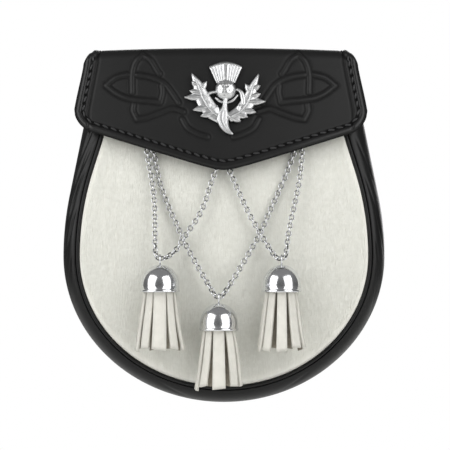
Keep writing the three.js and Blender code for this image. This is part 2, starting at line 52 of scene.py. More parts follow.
FRAME_WIDTH = 258.7 * MM
FRAME_CENTRE = Vector((0.6, -28, -42.3)) * MM
LENS = 250
SENSOR = 36
camera_data = bpy.data.cameras.new("camera")
camera_data.lens = LENS
camera_data.sensor_width = SENSOR
camera = bpy.data.objects.new("camera", camera_data)
camera.location = FRAME_CENTRE - Vector((0, FRAME_WIDTH * LENS / SENSOR, 0))
camera.rotation_euler = (math.radians(90), 0, 0)
scene.collection.objects.link(camera)
scene.camera = camera


def linear(hex_colour):
    """An sRGB hex colour as the linear colour that shaders use."""
    channels = [int(hex_colour[i:i + 2], 16) / 255 for i in (1, 3, 5)]
    return (*[c / 12.92 if c <= 0.04045 else ((c + 0.055) / 1.055) ** 2.4 for c in channels], 1)


def node(tree, kind, links=None, **settings):
    """Adds a node. links gives inputs a socket or a value, settings set the node's own fields."""
    made = tree.nodes.new(kind)
    for name, value in settings.items():
        setattr(made, name, value)
    for socket, source in (links or {}).items():
        if isinstance(source, bpy.types.NodeSocket):
            tree.links.new(source, made.inputs[socket])
        else:
            made.inputs[socket].default_value = source
    return made


FLOOR_GLOW = 0.06
CEILING_GLOW = 0.3
world = bpy.data.worlds.new("studio")
scene.world = world
world.use_nodes = True
tree = world.node_tree
tree.nodes.clear()
direction = node(tree, "ShaderNodeTexCoord")
height = node(tree, "ShaderNodeSeparateXYZ", {0: direction.outputs["Generated"]})
glow = node(tree, "ShaderNodeMapRange",
            {0: height.outputs["Z"], 1: -0.6, 2: 0.9, 3: FLOOR_GLOW, 4: CEILING_GLOW})
room = node(tree, "ShaderNodeBackground", {"Strength": glow.outputs[0]})
paper = node(tree, "ShaderNodeBackground", {"Color": (1, 1, 1, 1), "Strength": 1.0})
rays = node(tree, "ShaderNodeLightPath")
chosen = node(tree, "ShaderNodeMixShader",
              {0: rays.outputs["Is Camera Ray"], 1: room.outputs[0], 2: paper.outputs[0]})
node(tree, "ShaderNodeOutputWorld", {"Surface": chosen.outputs[0]})

SOFT_BOXES = [
    {"name": "left_box", "place": (-820, -620, 330), "size": (900, 950), "watts": 7.5, "mirrored": True},
    {"name": "right_box", "place": (700, -760, 330), "size": (900, 950), "watts": 7, "mirrored": True},
    {"name": "top_box", "place": (0, -500, 900), "size": (900, 500), "watts": 4, "mirrored": False},
    {"name": "back_box", "place": (200, 1000, 300), "size": (800, 800), "watts": 6, "mirrored": True},
]
for box in SOFT_BOXES:
    light = bpy.data.lights.new(box["name"], "AREA")
    light.shape = "RECTANGLE"
    light.size, light.size_y = (side * MM for side in box["size"])
    light.energy = box["watts"]
    lamp = bpy.data.objects.new(box["name"], light)
    lamp.visible_glossy = box["mirrored"]
    lamp.location = Vector(box["place"]) * MM
    lamp.rotation_euler = (FRAME_CENTRE - lamp.location).to_track_quat("-Z", "Y").to_euler()
    scene.collection.objects.link(lamp)

FLOOR_Z = -250 * MM
FLOOR_RADIUS = 1000 * MM
floor_mesh = bpy.data.meshes.new("floor")
bm = bmesh.new()
bmesh.ops.create_circle(bm, cap_ends=True, segments=96, radius=FLOOR_RADIUS)
bmesh.ops.translate(bm, vec=(0, 0, FLOOR_Z), verts=bm.verts)
bm.to_mesh(floor_mesh)
bm.free()
floor = bpy.data.objects.new("floor", floor_mesh)
scene.collection.objects.link(floor)
floor_paper = bpy.data.materials.new("pale_paper")
floor_paper.use_nodes = True
shader = floor_paper.node_tree.nodes["Principled BSDF"]
shader.inputs["Base Color"].default_value = linear("#EDEDEB")
shader.inputs["Roughness"].default_value = 0.9
floor_mesh.materials.append(floor_paper)


# The front panel: white hair-on hide about 2.5 mm thick, cut to a rounded shield and drawn over
# the stuffed pouch, so that it swells in front of its seam.
MOUTH_Z = 49 * MM
WIDEST_Z = -60.2 * MM
DEPTH_LOW = 34 * MM
DEPTH_MOUTH = 24 * MM
DOME_RISE = 7 * MM
DOME_MOUTH_SHARE = 0.45
HIDE_THICKNESS = 2.5 * MM
HIDE_OUTLINE = {"half_width": 82.6 * MM, "drop": 74.2 * MM, "shoulder": 165 * MM, "taper": 0.31}


def lerp(a, b, share):
    return a + (b - a) * share


def clamp(value, low=0.0, high=1.0):
    return min(max(value, low), high)


def half_width_at(outline, z):
    """Half width of an outline at a height at or above its widest place."""
    rise = max(z - WIDEST_Z, 0)
    bend = math.atan(outline["taper"])
    bend_rise = outline["shoulder"] * math.sin(bend)
    if rise <= bend_rise:
        return outline["half_width"] - outline["shoulder"] + math.sqrt(outline["shoulder"] ** 2 - rise ** 2)
    bend_in = outline["shoulder"] * (1 - math.cos(bend))
    return outline["half_width"] - bend_in - outline["taper"] * (rise - bend_rise)


def rise_share(z):
    return clamp((MOUTH_Z - z) / (MOUTH_Z - WIDEST_Z))


def seam_depth(z):
    share = rise_share(z)
    return lerp(DEPTH_MOUTH, DEPTH_LOW, share * share * (3 - 2 * share))


def hide_front(x, z):
    """The hide's outer surface, as y at a place of the front."""
    across = (x / half_width_at(HIDE_OUTLINE, min(z, MOUTH_Z))) ** 2
    if z < WIDEST_Z:
        swell = 1 - across - ((z - WIDEST_Z) / HIDE_OUTLINE["drop"]) ** 2
    else:
        swell = lerp(DOME_MOUTH_SHARE, 1, rise_share(z)) * (1 - across)
    return -seam_depth(z) - DOME_RISE * swell


def hide_place(across, along):
    """A point of the hide from its shares of the width and of the height."""
    side = math.sin(math.pi * (across - 0.5))
    lowest = WIDEST_Z - HIDE_OUTLINE["drop"] * math.sqrt(max(0, 1 - side * side))
    z = lerp(MOUTH_Z, lowest, along)
    x = side * half_width_at(HIDE_OUTLINE, z)
    return Vector((x, hide_front(x, z), z))


def bent_sheet(columns, rows, place):
    """A grid of columns by rows whose corners go where place(across, along) says."""
    sheet = bmesh.new()
    bmesh.ops.create_grid(sheet, x_segments=columns, y_segments=rows, size=0.5)
    for vert in sheet.verts:
        vert.co = place(clamp(vert.co.x + 0.5), clamp(vert.co.y + 0.5))
    return sheet


def add_piece(name, shape, material, body="pouch", nodes=(), thickness=0, smooth=True):
    """Makes a bmesh a piece of the object that rides on a body and stands for the CAD nodes."""
    mesh = bpy.data.meshes.new(name)
    shape.to_mesh(mesh)
    shape.free()
    mesh.polygons.foreach_set("use_smooth", [smooth] * len(mesh.polygons))
    mesh.materials.append(material)
    piece = bpy.data.objects.new(name, mesh)
    scene.collection.objects.link(piece)
    if thickness:
        wall = piece.modifiers.new("wall", "SOLIDIFY")
        wall.thickness = thickness
        wall.offset = -1
    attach(piece, body)
    if nodes:
        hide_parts(*nodes)
    return piece


def new_material(name):
    """An empty procedural material: its tree, its shader and its Object coordinates."""
    material = bpy.data.materials.new(name)
    material.use_nodes = True
    shader = material.node_tree.nodes["Principled BSDF"]
    coords = node(material.node_tree, "ShaderNodeTexCoord")
    return material, material.node_tree, shader, coords.outputs["Object"]


# Hair-on cow hide: short white hair that lies downwards in faint streaks, matt with a dry sheen.
hide_skin, tree, shader, place = new_material("white_hide_skin")
STREAK_WIDTH = 1.6 * MM
STREAK_LENGTH = 14 * MM
streak_scale = (1 / STREAK_WIDTH, 1 / STREAK_WIDTH, 1 / STREAK_LENGTH)
streaks = node(tree, "ShaderNodeMapping", {"Vector": place, "Scale": streak_scale})
streak = node(tree, "ShaderNodeTexNoise", {"Vector": streaks.outputs[0], "Scale": 1.0, "Detail": 4.0})
skin = node(tree, "ShaderNodeMixRGB", {0: streak.outputs[0], 1: linear("#D6D5CC"), 2: linear("#E9E8E1")})
tree.links.new(skin.outputs[0], shader.inputs["Base Color"])
shader.inputs["Roughness"].default_value = 0.75
hide_bump = node(tree, "ShaderNodeBump",
                 {"Height": streak.outputs[0], "Strength": 0.3, "Distance": 0.4 * MM})
tree.links.new(hide_bump.outputs[0], shader.inputs["Normal"])

hide = bent_sheet(90, 100, hide_place)
bmesh.ops.reverse_faces(hide, faces=hide.faces)
add_piece("front_hide", hide, hide_skin, nodes=["front_panel"], thickness=HIDE_THICKNESS)


# The hide's hair: short white hairs that lie flat and point downwards, each a thin sliver that is
# rooted in the skin and lifts a little at its tip.
HAIR_COUNT = 46000
HAIR_LENGTH = (5 * MM, 9 * MM)
HAIR_HALF_WIDTH = (0.07 * MM, 0.14 * MM)
HAIR_LIFT = (0.1 * MM, 0.34 * MM)
HAIR_EDGE = 1.2 * MM
HAIR_LEAN = 0.09
HAIR_ROOT = 0.05 * MM
HAIR_CREST = 0.55
HAIR_TIP_LIFT = 0.6

hair, tree, shader, place = new_material("white_hair")
strands = node(tree, "ShaderNodeTexNoise", {"Vector": place, "Scale": 1 / (2.2 * MM), "Detail": 3.0})
hair_tones = node(tree, "ShaderNodeMixRGB",
                  {0: strands.outputs[0], 1: linear("#DADAD1"), 2: linear("#F2F2EB")})
tree.links.new(hair_tones.outputs[0], shader.inputs["Base Color"])
shader.inputs["Roughness"].default_value = 0.6


def inside_hide(x, z):
    """Whether a place lies on the hide, clear of its seam."""
    if z > WIDEST_Z:
        return abs(x) < half_width_at(HIDE_OUTLINE, z) - HAIR_EDGE
    across = x / (HIDE_OUTLINE["half_width"] - HAIR_EDGE)
    down = (WIDEST_Z - z) / (HIDE_OUTLINE["drop"] - HAIR_EDGE)
    return across ** 2 + down ** 2 < 1


draw = random.Random(3)
hair_points = []
hair_faces = []
while len(hair_faces) < 2 * HAIR_COUNT:
    z = draw.uniform(WIDEST_Z - HIDE_OUTLINE["drop"], MOUTH_Z)
    x = draw.uniform(-1, 1) * HIDE_OUTLINE["half_width"]
    length = draw.uniform(*HAIR_LENGTH)
    half_width = draw.uniform(*HAIR_HALF_WIDTH)
    lift = draw.uniform(*HAIR_LIFT)
    lean_x = draw.gauss(0, HAIR_LEAN)
    tip_x, tip_z = x + lean_x * length, z - length
    if not (inside_hide(x, z) and inside_hide(tip_x, tip_z)):
        continue
    first = len(hair_points)
    for share, width, height in ((0, 1, -HAIR_ROOT), (HAIR_CREST, 0.9, lift)):
        px, pz = lerp(x, tip_x, share), lerp(z, tip_z, share)
        for side in (-1, 1):
            hair_points.append((px + side * width * half_width, hide_front(px, pz) - height, pz))
    hair_points.append((tip_x, hide_front(tip_x, tip_z) - lift * HAIR_TIP_LIFT, tip_z))
    hair_faces.append((first, first + 2, first + 3, first + 1))
    hair_faces.append((first + 2, first + 4, first + 3))
hair_mesh = bpy.data.meshes.new("hair")
hair_mesh.from_pydata(hair_points, [], hair_faces)
coat = bmesh.new()
coat.from_mesh(hair_mesh)
bpy.data.meshes.remove(hair_mesh)
add_piece("front_hair", coat, hair)


# The gusset: one strip of black leather sewn round the sides and bottom. It bulges past both
# seams, and shows in front as a soft roll with a few slanting creases.
LEATHER_THICKNESS = 2 * MM
WELT_RADIUS = 1 * MM
GAP = 0.35 * MM
SIDE_SHARE = 0.22
ROLL_OUTLINE = {"half_width": 92.8 * MM, "drop": 84.4 * MM, "shoulder": 176 * MM, "taper": 0.2}


def grown(outline, margin):
    wider = {key: outline[key] + margin for key in ("half_width", "drop", "shoulder")}
    return {**wider, "taper": outline["taper"]}


WELT_OUTLINE = grown(HIDE_OUTLINE, GAP + WELT_RADIUS)
SEAM_OUTLINE = grown(HIDE_OUTLINE, 2 * (GAP + WELT_RADIUS))


def outline_point(outline, share):
    """A point (x, z) of an outline, from its top left end round the bottom to its top right end."""
    if share < SIDE_SHARE or share > 1 - SIDE_SHARE:
        side = -1 if share < 0.5 else 1
        z = lerp(MOUTH_Z, WIDEST_Z, min(share, 1 - share) / SIDE_SHARE)
        return Vector((side * half_width_at(outline, z), z))
    angle = math.pi * (share - SIDE_SHARE) / (1 - 2 * SIDE_SHARE)
    return Vector((-outline["half_width"] * math.cos(angle), WIDEST_Z - outline["drop"] * math.sin(angle)))


# Each crease lies across the roll: its share of the way round, its middle's share of the turn from
# the front seam, its half length and half width in mm, its slant (mm along for a mm across) and its
# depth in mm. The gusset's length and girth, also in mm, turn shares into distances.
CREASES = [
    (0.070, 0.17, 3.6, 3.2, 2.6, 0.7), (0.092, 0.22, 4.2, 3.4, 2.8, 1.0),
    (0.108, 0.13, 3.8, 3.0, 2.6, 0.9), (0.126, 0.24, 4.4, 3.4, 3.0, 1.1),
    (0.143, 0.15, 4.0, 3.0, 2.8, 1.0), (0.164, 0.22, 4.2, 3.4, 2.8, 1.1),
    (0.182, 0.13, 3.6, 3.0, 2.6, 0.8), (0.204, 0.21, 4.0, 3.4, 2.4, 0.8),
    (0.240, 0.18, 4.0, 3.8, 2.0, 0.6), (0.440, 0.20, 4.0, 4.0, 1.6, 0.4),
    (0.590, 0.18, 4.0, 4.0, -1.8, 0.4), (0.735, 0.21, 4.0, 3.8, -2.2, 0.5),
    (0.775, 0.16, 3.8, 3.4, -2.6, 0.6), (0.815, 0.23, 4.2, 3.4, -2.8, 0.7),
    (0.850, 0.15, 3.8, 3.4, -2.8, 0.7), (0.890, 0.21, 4.0, 3.4, -2.6, 0.6),
]
GUSSET_LENGTH = 470
GUSSET_GIRTH = 46


def crease_depth(along, turn):
    """How far the creases press the roll in, in metres."""
    depth = 0
    for middle, level, half_length, half_width, slant, deep in CREASES:
        across = (turn - level) * GUSSET_GIRTH
        off = (along - middle) * GUSSET_LENGTH - slant * across
        depth += deep * MM * math.exp(-(off / half_width) ** 2 - (across / half_length) ** 2)
    return depth


def gusset_place(along, turn):
    """The gusset's outer skin: half an ellipse from front seam to back seam, pressed in by creases."""
    seam = outline_point(SEAM_OUTLINE, along)
    roll = outline_point(ROLL_OUTLINE, along)
    angle = math.pi * turn
    bulge = (roll - seam).length
    half_depth = seam_depth(seam.y) / 2
    outward = Vector((math.sin(angle) / bulge, math.cos(angle) / half_depth)).normalized()
    outward *= crease_depth(along, turn) * min(1, 2.5 * math.sin(angle))
    spot = seam.lerp(roll, math.sin(angle) - outward.x / bulge)
    return Vector((spot.x, -half_depth - math.cos(angle) * half_depth + outward.y, spot.y))


# Black bridle leather: dyed through, waxed and plated smooth, so that it is nearly black with a
# broad soft sheen and a fine pebble that only shows where the light grazes it.
black_leather, tree, shader, place = new_material("black_bridle_leather")
PEBBLE = 0.9 * MM
cloud = node(tree, "ShaderNodeTexNoise", {"Vector": place, "Scale": 1 / (18 * MM), "Detail": 3.0})
dye = node(tree, "ShaderNodeMixRGB", {0: cloud.outputs[0], 1: linear("#0A0A0A"), 2: linear("#121212")})
tree.links.new(dye.outputs[0], shader.inputs["Base Color"])
gloss = node(tree, "ShaderNodeMapRange", {0: cloud.outputs[0], 3: 0.34, 4: 0.48})
tree.links.new(gloss.outputs[0], shader.inputs["Roughness"])
shader.inputs["Specular IOR Level"].default_value = 0.32
pebble = node(tree, "ShaderNodeTexVoronoi", {"Vector": place, "Scale": 1 / PEBBLE}, feature="SMOOTH_F1")
grain = node(tree, "ShaderNodeBump", {"Height": pebble.outputs[0], "Strength": 0.12, "Distance": 0.15 * MM})
tree.links.new(grain.outputs[0], shader.inputs["Normal"])

gusset = bent_sheet(560, 60, gusset_place)
bmesh.ops.reverse_faces(gusset, faces=gusset.faces)
add_piece("gusset_leather", gusset, black_leather, nodes=["gusset"],
          thickness=LEATHER_THICKNESS)


# The welt: a thin piping of black leather folded over a filler and sewn into the seam between hide
# and gusset, where it covers the hide's cut edge.
WELT_SIDES = 10
WELT_STEPS = 300


def swept(steps, sides, path, sizes):
    """A tube along path(share). sizes(share) gives its half width and its half height, along -Y."""
    def place(along, around):
        here = path(along)
        ahead = path(clamp(along + 0.5 / steps))
        behind = path(clamp(along - 0.5 / steps))
        tangent = (ahead - behind).normalized()
        front = Vector((0, -1, 0))
        sideways = tangent.cross(front)
        if sideways.length < 1e-4:
            sideways = Vector((1, 0, 0))
        sideways.normalize()
        upward = sideways.cross(tangent)
        width, height = sizes(along)
        angle = 2 * math.pi * around
        return here + sideways * width * math.cos(angle) + upward * height * math.sin(angle)

    tube = bent_sheet(steps, sides, place)
    bmesh.ops.remove_doubles(tube, verts=tube.verts, dist=1e-7)
    open_rims = [edge for edge in tube.edges if edge.is_boundary]
    if open_rims:
        bmesh.ops.holes_fill(tube, edges=open_rims, sides=0)
    bmesh.ops.recalc_face_normals(tube, faces=tube.faces)
    return tube


def welt_path(share):
    spot = outline_point(WELT_OUTLINE, share)
    return Vector((spot.x, -seam_depth(spot.y), spot.y))


welt = swept(WELT_STEPS, WELT_SIDES, welt_path, lambda share: (WELT_RADIUS, WELT_RADIUS))
add_piece("welt_leather", welt, black_leather, nodes=["front_welt"])


# The back panel: a flat shield of the same black leather, sewn to the gusset's rear edge. It lies
# against the wearer and carries the belt loops.
BACK_OUTLINE = grown(SEAM_OUTLINE, -GAP)


def back_place(across, along):
    side = math.sin(math.pi * (across - 0.5))
    lowest = WIDEST_Z - BACK_OUTLINE["drop"] * math.sqrt(max(0, 1 - side * side))
    z = lerp(MOUTH_Z, lowest, along)
    return Vector((side * half_width_at(BACK_OUTLINE, z), 0, z))


back = bent_sheet(60, 60, back_place)
add_piece("back_leather", back, black_leather, nodes=["back_panel"],
          thickness=LEATHER_THICKNESS)


# The flap: one piece of black leather sewn to the back, folded over the mouth and cut to a soft
# point. Its front is wet-moulded and tooled: a knot of double lines on each side of the badge, a
# line inside the sides, and a rounded border outside the stitches.
FLAP_THICKNESS = 2.4 * MM
FLAP_BACK_Z = 30 * MM
FLAP_WIDE_Z = 23.3 * MM
FLAP_SHIFT = -1.9 * MM
BEND_INSIDE = 5.1 * MM
BEND_Z = 52.2 * MM
FLAP_HALF_WIDTH = {"back": 73 * MM, "crown": 75 * MM, "brow": 79.3 * MM, "wide": 84.4 * MM}
POINT_Z = -13 * MM
POINT_SLOPE = 0.316
POINT_SOFTNESS = 6.6 * MM
CORNER_RADIUS = 10 * MM
STANDOFF = {"top": 1 * MM, "low": 6 * MM, "low_z": 2 * MM}


def flap_inside(x, z):
    share = clamp((BEND_Z - z) / (BEND_Z - STANDOFF["low_z"]))
    return hide_front(x, min(z, MOUTH_Z)) - lerp(STANDOFF["top"], STANDOFF["low"], share)


def flap_lowest(side):
    """Height of the front's lower edge: two straight runs to a soft point, with round corners."""
    x = FLAP_SHIFT + side * FLAP_HALF_WIDTH["wide"]
    straight = POINT_Z + POINT_SLOPE * math.hypot(x, POINT_SOFTNESS)
    corner_share = CORNER_RADIUS / FLAP_HALF_WIDTH["wide"]
    into_corner = clamp((abs(side) - 1 + corner_share) / corner_share)
    return straight + CORNER_RADIUS * (1 - math.sqrt(1 - into_corner ** 2))


def flap_half_width(z):
    share = clamp((BEND_Z - z) / (BEND_Z - FLAP_WIDE_Z))
    return lerp(FLAP_HALF_WIDTH["brow"], FLAP_HALF_WIDTH["wide"], share)


def flap_spot(side, part, share, skin):
    """A point of the flap, skin above its inside face, in one of its five stretches."""
    radius = BEND_INSIDE + skin
    back_bend_y = GAP - BEND_INSIDE
    crown_x = FLAP_SHIFT + side * FLAP_HALF_WIDTH["crown"]
    brow_x = FLAP_SHIFT + side * FLAP_HALF_WIDTH["brow"]
    front_bend_y = flap_inside(brow_x, BEND_Z) + BEND_INSIDE
    turn = share * math.pi / 2
    if part == "back":
        x = FLAP_SHIFT + side * lerp(FLAP_HALF_WIDTH["back"], FLAP_HALF_WIDTH["crown"], share)
        return Vector((x, GAP + skin, lerp(FLAP_BACK_Z, BEND_Z, share)))
    if part == "back_bend":
        return Vector((crown_x, back_bend_y + radius * math.cos(turn), BEND_Z + radius * math.sin(turn)))
    if part == "crown":
        return Vector((crown_x, lerp(back_bend_y, front_bend_y, share), BEND_Z + radius))
    if part == "front_bend":
        x = lerp(crown_x, brow_x, math.sin(turn))
        return Vector((x, front_bend_y - radius * math.sin(turn), BEND_Z + radius * math.cos(turn)))
    z = lerp(BEND_Z, flap_lowest(side), share)
    x = FLAP_SHIFT + side * flap_half_width(z)
    return Vector((x, flap_inside(x, z) - skin, z))


# The right half of the knot in millimetres (x, z), as the strands lie: each run is one strand
# between two corners or between two places where it passes under another. The left half mirrors it.
KNOT_RUNS = {
    "badge_to_side_loop": [(24.1, 27.8), (27.6, 33.1), (31.5, 38.3), (36.5, 41.6), (42, 43.4),
                           (48.3, 44.4)],
    "side_loop_upper": [(53.3, 44.6), (60, 42.9), (65.8, 38.3)],
    "side_loop_lower": [(65.8, 38.3), (60, 33.6), (53.7, 30.7), (46.1, 29.4), (39.2, 28.8), (34.6, 28)],
    "inner_corner": [(34.6, 28), (33.4, 33.6), (33.7, 37.6)],
    "top_loop_inner": [(35.1, 44.6), (36.8, 47), (40.3, 52.8), (45, 56.4)],
    "top_loop_outer": [(45, 56.4), (49, 51.6), (50.8, 44.7), (50.8, 33.8)],
    "lower_loop_outer": [(49.9, 26.8), (50.2, 23.2), (47.9, 18.3)],
    "lower_loop_inner": [(47.9, 18.3), (42.1, 19.4), (34.5, 22), (27.6, 24.4), (21.2, 22.6)],
    "under_badge": [(22, 18.3), (18.9, 13.3), (13, 9.9), (7.3, 8.1)],
}
KNOT_HALF_BAND = 1.7 * MM
KNOT_STEP = 0.12 * MM


def smooth_run(spots, step):
    """Points about a step apart on a smooth curve through spots, which are Vectors."""
    points = [spots[0] * 2 - spots[1], *spots, spots[-1] * 2 - spots[-2]]
    run = []
    for i in range(1, len(points) - 2):
        count = max(2, round((points[i + 1] - points[i]).length / step))
        for k in range(count):
            t = k / count
            a = points[i - 1] * (-t + 2 * t ** 2 - t ** 3)
            b = points[i] * (2 - 5 * t ** 2 + 3 * t ** 3)
            c = points[i + 1] * (t + 4 * t ** 2 - 3 * t ** 3)
            d = points[i + 2] * (t ** 3 - t ** 2)
            run.append((a + b + c + d) / 2)
    return [*run, spots[-1].copy()]


def tree_of(points):
    """A search tree for the nearest of these points."""
    found = KDTree(len(points))
    for i, point in enumerate(points):
        found.insert(point, i)
    found.balance()
    return found


knot_points = []
for spots in KNOT_RUNS.values():
    for mirrored in (-1, 1):
        corners = [Vector((FLAP_SHIFT + mirrored * x * MM, 0, z * MM)) for x, z in spots]
        knot_points += smooth_run(corners, KNOT_STEP)
knot_tree = tree_of(knot_points)

EDGE_STEPS = 1200
SIDE_STEPS = 120
STITCH_INSET = 5.2 * MM
STITCH_PITCH = 5 * MM
flap_edge = []
for i in range(EDGE_STEPS + 1):
    side = math.sin(math.pi * (i / EDGE_STEPS - 0.5))
    low = flap_lowest(side)
    flap_edge.append(Vector((FLAP_SHIFT + side * flap_half_width(low), 0, low)))
for side in (-1, 1):
    for i in range(SIDE_STEPS + 1):
        z = lerp(flap_lowest(1), BEND_Z, i / SIDE_STEPS)
        flap_edge.append(Vector((FLAP_SHIFT + side * flap_half_width(z), 0, z)))
        over_fold = flap_spot(side, "front_bend", i / SIDE_STEPS, FLAP_THICKNESS)
        flap_edge.append(Vector((over_fold.x, 0, over_fold.z)))
edge_tree = tree_of(flap_edge)

# The stitch line: the edge moved in by the inset, with the loops that this makes at corners left out.
stitch_line = []
for i in range(1, EDGE_STEPS):
    along = (flap_edge[i + 1] - flap_edge[i - 1]).normalized()
    inward = Vector((-along.z, 0, along.x))
    spot = flap_edge[i] + inward * STITCH_INSET
    if edge_tree.find(spot)[2] > STITCH_INSET - 0.1 * MM:
        stitch_line.append(spot)
left_top = Vector((FLAP_SHIFT - FLAP_HALF_WIDTH["brow"] + STITCH_INSET, 0, BEND_Z))
right_top = Vector((FLAP_SHIFT + FLAP_HALF_WIDTH["brow"] - STITCH_INSET, 0, BEND_Z))
stitch_line = [left_top, *stitch_line, right_top]


def evenly(points, pitch, first):
    """Points a pitch apart along a broken line, the first so far along it, each with its direction."""
    spots = []
    left = first
    for a, b in zip(points, points[1:]):
        length = (b - a).length
        while left < length:
            spots.append((a.lerp(b, left / length), (b - a).normalized()))
            left += pitch
        left -= length
    return spots


stitch_spots = evenly(stitch_line, STITCH_PITCH, STITCH_PITCH / 2)
hole_tree = tree_of([spot + along * STITCH_PITCH / 2 for spot, along in stitch_spots])

SIDE_LINE_INSET = 8.8 * MM
SIDE_LINE_DEPTH = 0.65 * MM
SIDE_LINE_WIDTH = 0.6 * MM
SIDE_LINE_LOW_Z = 12 * MM


def dent(distance, width):
    return math.exp(-(distance / width) ** 2)


def eased(low, high, value):
    share = clamp((value - low) / (high - low))
    return share * share * (3 - 2 * share)


RIM = {"height": 0.7 * MM, "full": 2.4 * MM, "falls": 3.2 * MM, "ends": 4.8 * MM}
CUT_EDGE = {"drop": 1.2 * MM, "width": 2.2 * MM}
STITCH_CHANNEL = {"depth": 0.7 * MM, "width": 0.8 * MM}
AWL_HOLE = {"depth": 0.9 * MM, "width": 0.8 * MM}
KNOT_GROOVE = {"depth": 0.62 * MM, "width": 0.62 * MM}
KNOT_CROWN = 0.28 * MM


def border_relief(edge):
    """The border outside the stitches: a rounded rim that falls away at the cut edge."""
    rim = RIM["height"] * eased(0, RIM["full"], edge) * (1 - eased(RIM["falls"], RIM["ends"], edge))
    rolled = CUT_EDGE["drop"] * (1 - eased(0, CUT_EDGE["width"], edge)) ** 2
    return rim - rolled - STITCH_CHANNEL["depth"] * dent(edge - STITCH_INSET, STITCH_CHANNEL["width"])


def front_relief(x, z):
    """Height of the tooled front over the plain leather at a place seen from the front."""
    spot = Vector((x, 0, z))
    edge = edge_tree.find(spot)[2]
    height = border_relief(edge)
    side_edge = flap_half_width(z) - abs(x - FLAP_SHIFT)
    if z > SIDE_LINE_LOW_Z:
        height -= SIDE_LINE_DEPTH * dent(side_edge - SIDE_LINE_INSET, SIDE_LINE_WIDTH)
    height -= AWL_HOLE["depth"] * dent(hole_tree.find(spot)[2], AWL_HOLE["width"])
    strand = knot_tree.find(spot)[2]
    height -= KNOT_GROOVE["depth"] * dent(strand - KNOT_HALF_BAND, KNOT_GROOVE["width"])
    if strand < KNOT_HALF_BAND:
        height += KNOT_CROWN * (1 - (strand / KNOT_HALF_BAND) ** 2)
    return height


def fold_relief(side, half_width):
    """The border and side line where the flap goes over the fold."""
    edge = (1 - abs(side)) * half_width
    return border_relief(edge) - SIDE_LINE_DEPTH * dent(edge - SIDE_LINE_INSET, SIDE_LINE_WIDTH)


FLAP_COLUMNS = 272
FLAP_STRETCHES = [("back", 9), ("back_bend", 8), ("crown", 7), ("front_bend", 12), ("front", 104)]
flap_rows = [("back", 0.0)]
for part, rows in FLAP_STRETCHES:
    flap_rows += [(part, (i + 1) / rows) for i in range(rows)]

CROWN_SAG = 1.4 * MM
CROWN_CORNER = {"from": 0.935, "drop": 2.2 * MM}
SAG_LOW_Z = 26 * MM
SAG_FULL_Z = 54.2 * MM


def sagged(spot, side):
    """The fold hangs a little lower towards its ends, most at its corners."""
    into_corner = clamp((abs(side) - CROWN_CORNER["from"]) / (1 - CROWN_CORNER["from"]))
    drop = CROWN_SAG * side ** 2 + CROWN_CORNER["drop"] * (1 - math.sqrt(1 - into_corner ** 2))
    return Vector((spot.x, spot.y, spot.z - drop * eased(SAG_LOW_Z, SAG_FULL_Z, spot.z)))


tooling = []


def flap_place(across, along):
    side = 2 * across - 1
    part, share = flap_rows[round(along * (len(flap_rows) - 1))]
    flat = flap_spot(side, part, share, FLAP_THICKNESS)
    if part in ("front", "front_bend"):
        relief = front_relief(flat.x, flat.z)
    else:
        relief = fold_relief(side, FLAP_HALF_WIDTH["crown"])
    tooling.append(relief)
    return sagged(flap_spot(side, part, share, FLAP_THICKNESS + relief), side)


# The same leather, with painted shade darkening the tooled grooves, its colour lightened on what stands up,
# and polish (less roughness) there.
tooled_leather = black_leather.copy()
tooled_leather.name = "tooled_bridle_leather"
tree = tooled_leather.node_tree
shader = tree.nodes["Principled BSDF"]
relief_height = node(tree, "ShaderNodeAttribute", attribute_name="tooling")
raised_share = node(tree, "ShaderNodeMapRange", {0: relief_height.outputs["Fac"], 1: -0.6 * MM, 2: 0.5 * MM})
plain_dye = shader.inputs["Base Color"].links[0].from_socket
# Painted shade: the colour is multiplied towards black in the tooled grooves and up to twice as light on
# the raised places.
groove_painted_shade = node(tree, "ShaderNodeMixRGB", {0: raised_share.outputs[0], 1: linear("#020202"), 2: (2, 2, 2, 1)})
tooled_colour_with_shade = node(tree, "ShaderNodeMixRGB",
                  {0: 1.0, 1: plain_dye, 2: groove_painted_shade.outputs[0]}, blend_type="MULTIPLY")
tree.links.new(tooled_colour_with_shade.outputs[0], shader.inputs["Base Color"])
tooled_gloss = node(tree, "ShaderNodeMapRange", {0: raised_share.outputs[0], 3: 0.75, 4: 0.3})
tree.links.new(tooled_gloss.outputs[0], shader.inputs["Roughness"])

flap = bent_sheet(FLAP_COLUMNS, len(flap_rows) - 1, flap_place)
bmesh.ops.reverse_faces(flap, faces=flap.faces)
height_layer = flap.verts.layers.float.new("tooling")
for vert, relief in zip(flap.verts, tooling):
    vert[height_layer] = relief
add_piece("flap_leather", flap, tooled_leather, nodes=["flap"], thickness=FLAP_THICKNESS)


# The flap's stitches: waxed black thread, slightly lighter than the leather, sewn by hand through
# awl holes. It lies slanting in the channel and goes over the fold to the flap's rear edge.
THREAD_RADIUS = 0.65 * MM
STITCH_LENGTH = 3.9 * MM
STITCH_SLANT = math.radians(14)
STITCH_SINK = 0.25 * MM
FOLD_STITCHES = {"front_bend": 2, "crown": 2, "back_bend": 2, "back": 4}

waxed_thread, tree, shader, place = new_material("waxed_thread")
twist = node(tree, "ShaderNodeTexWave", {"Vector": place, "Scale": 1 / (0.9 * MM), "Distortion": 1.5})
thread_dye = node(tree, "ShaderNodeMixRGB",
                  {0: twist.outputs[0], 1: linear("#161617"), 2: linear("#363637")})
tree.links.new(thread_dye.outputs[0], shader.inputs["Base Color"])
shader.inputs["Roughness"].default_value = 0.5


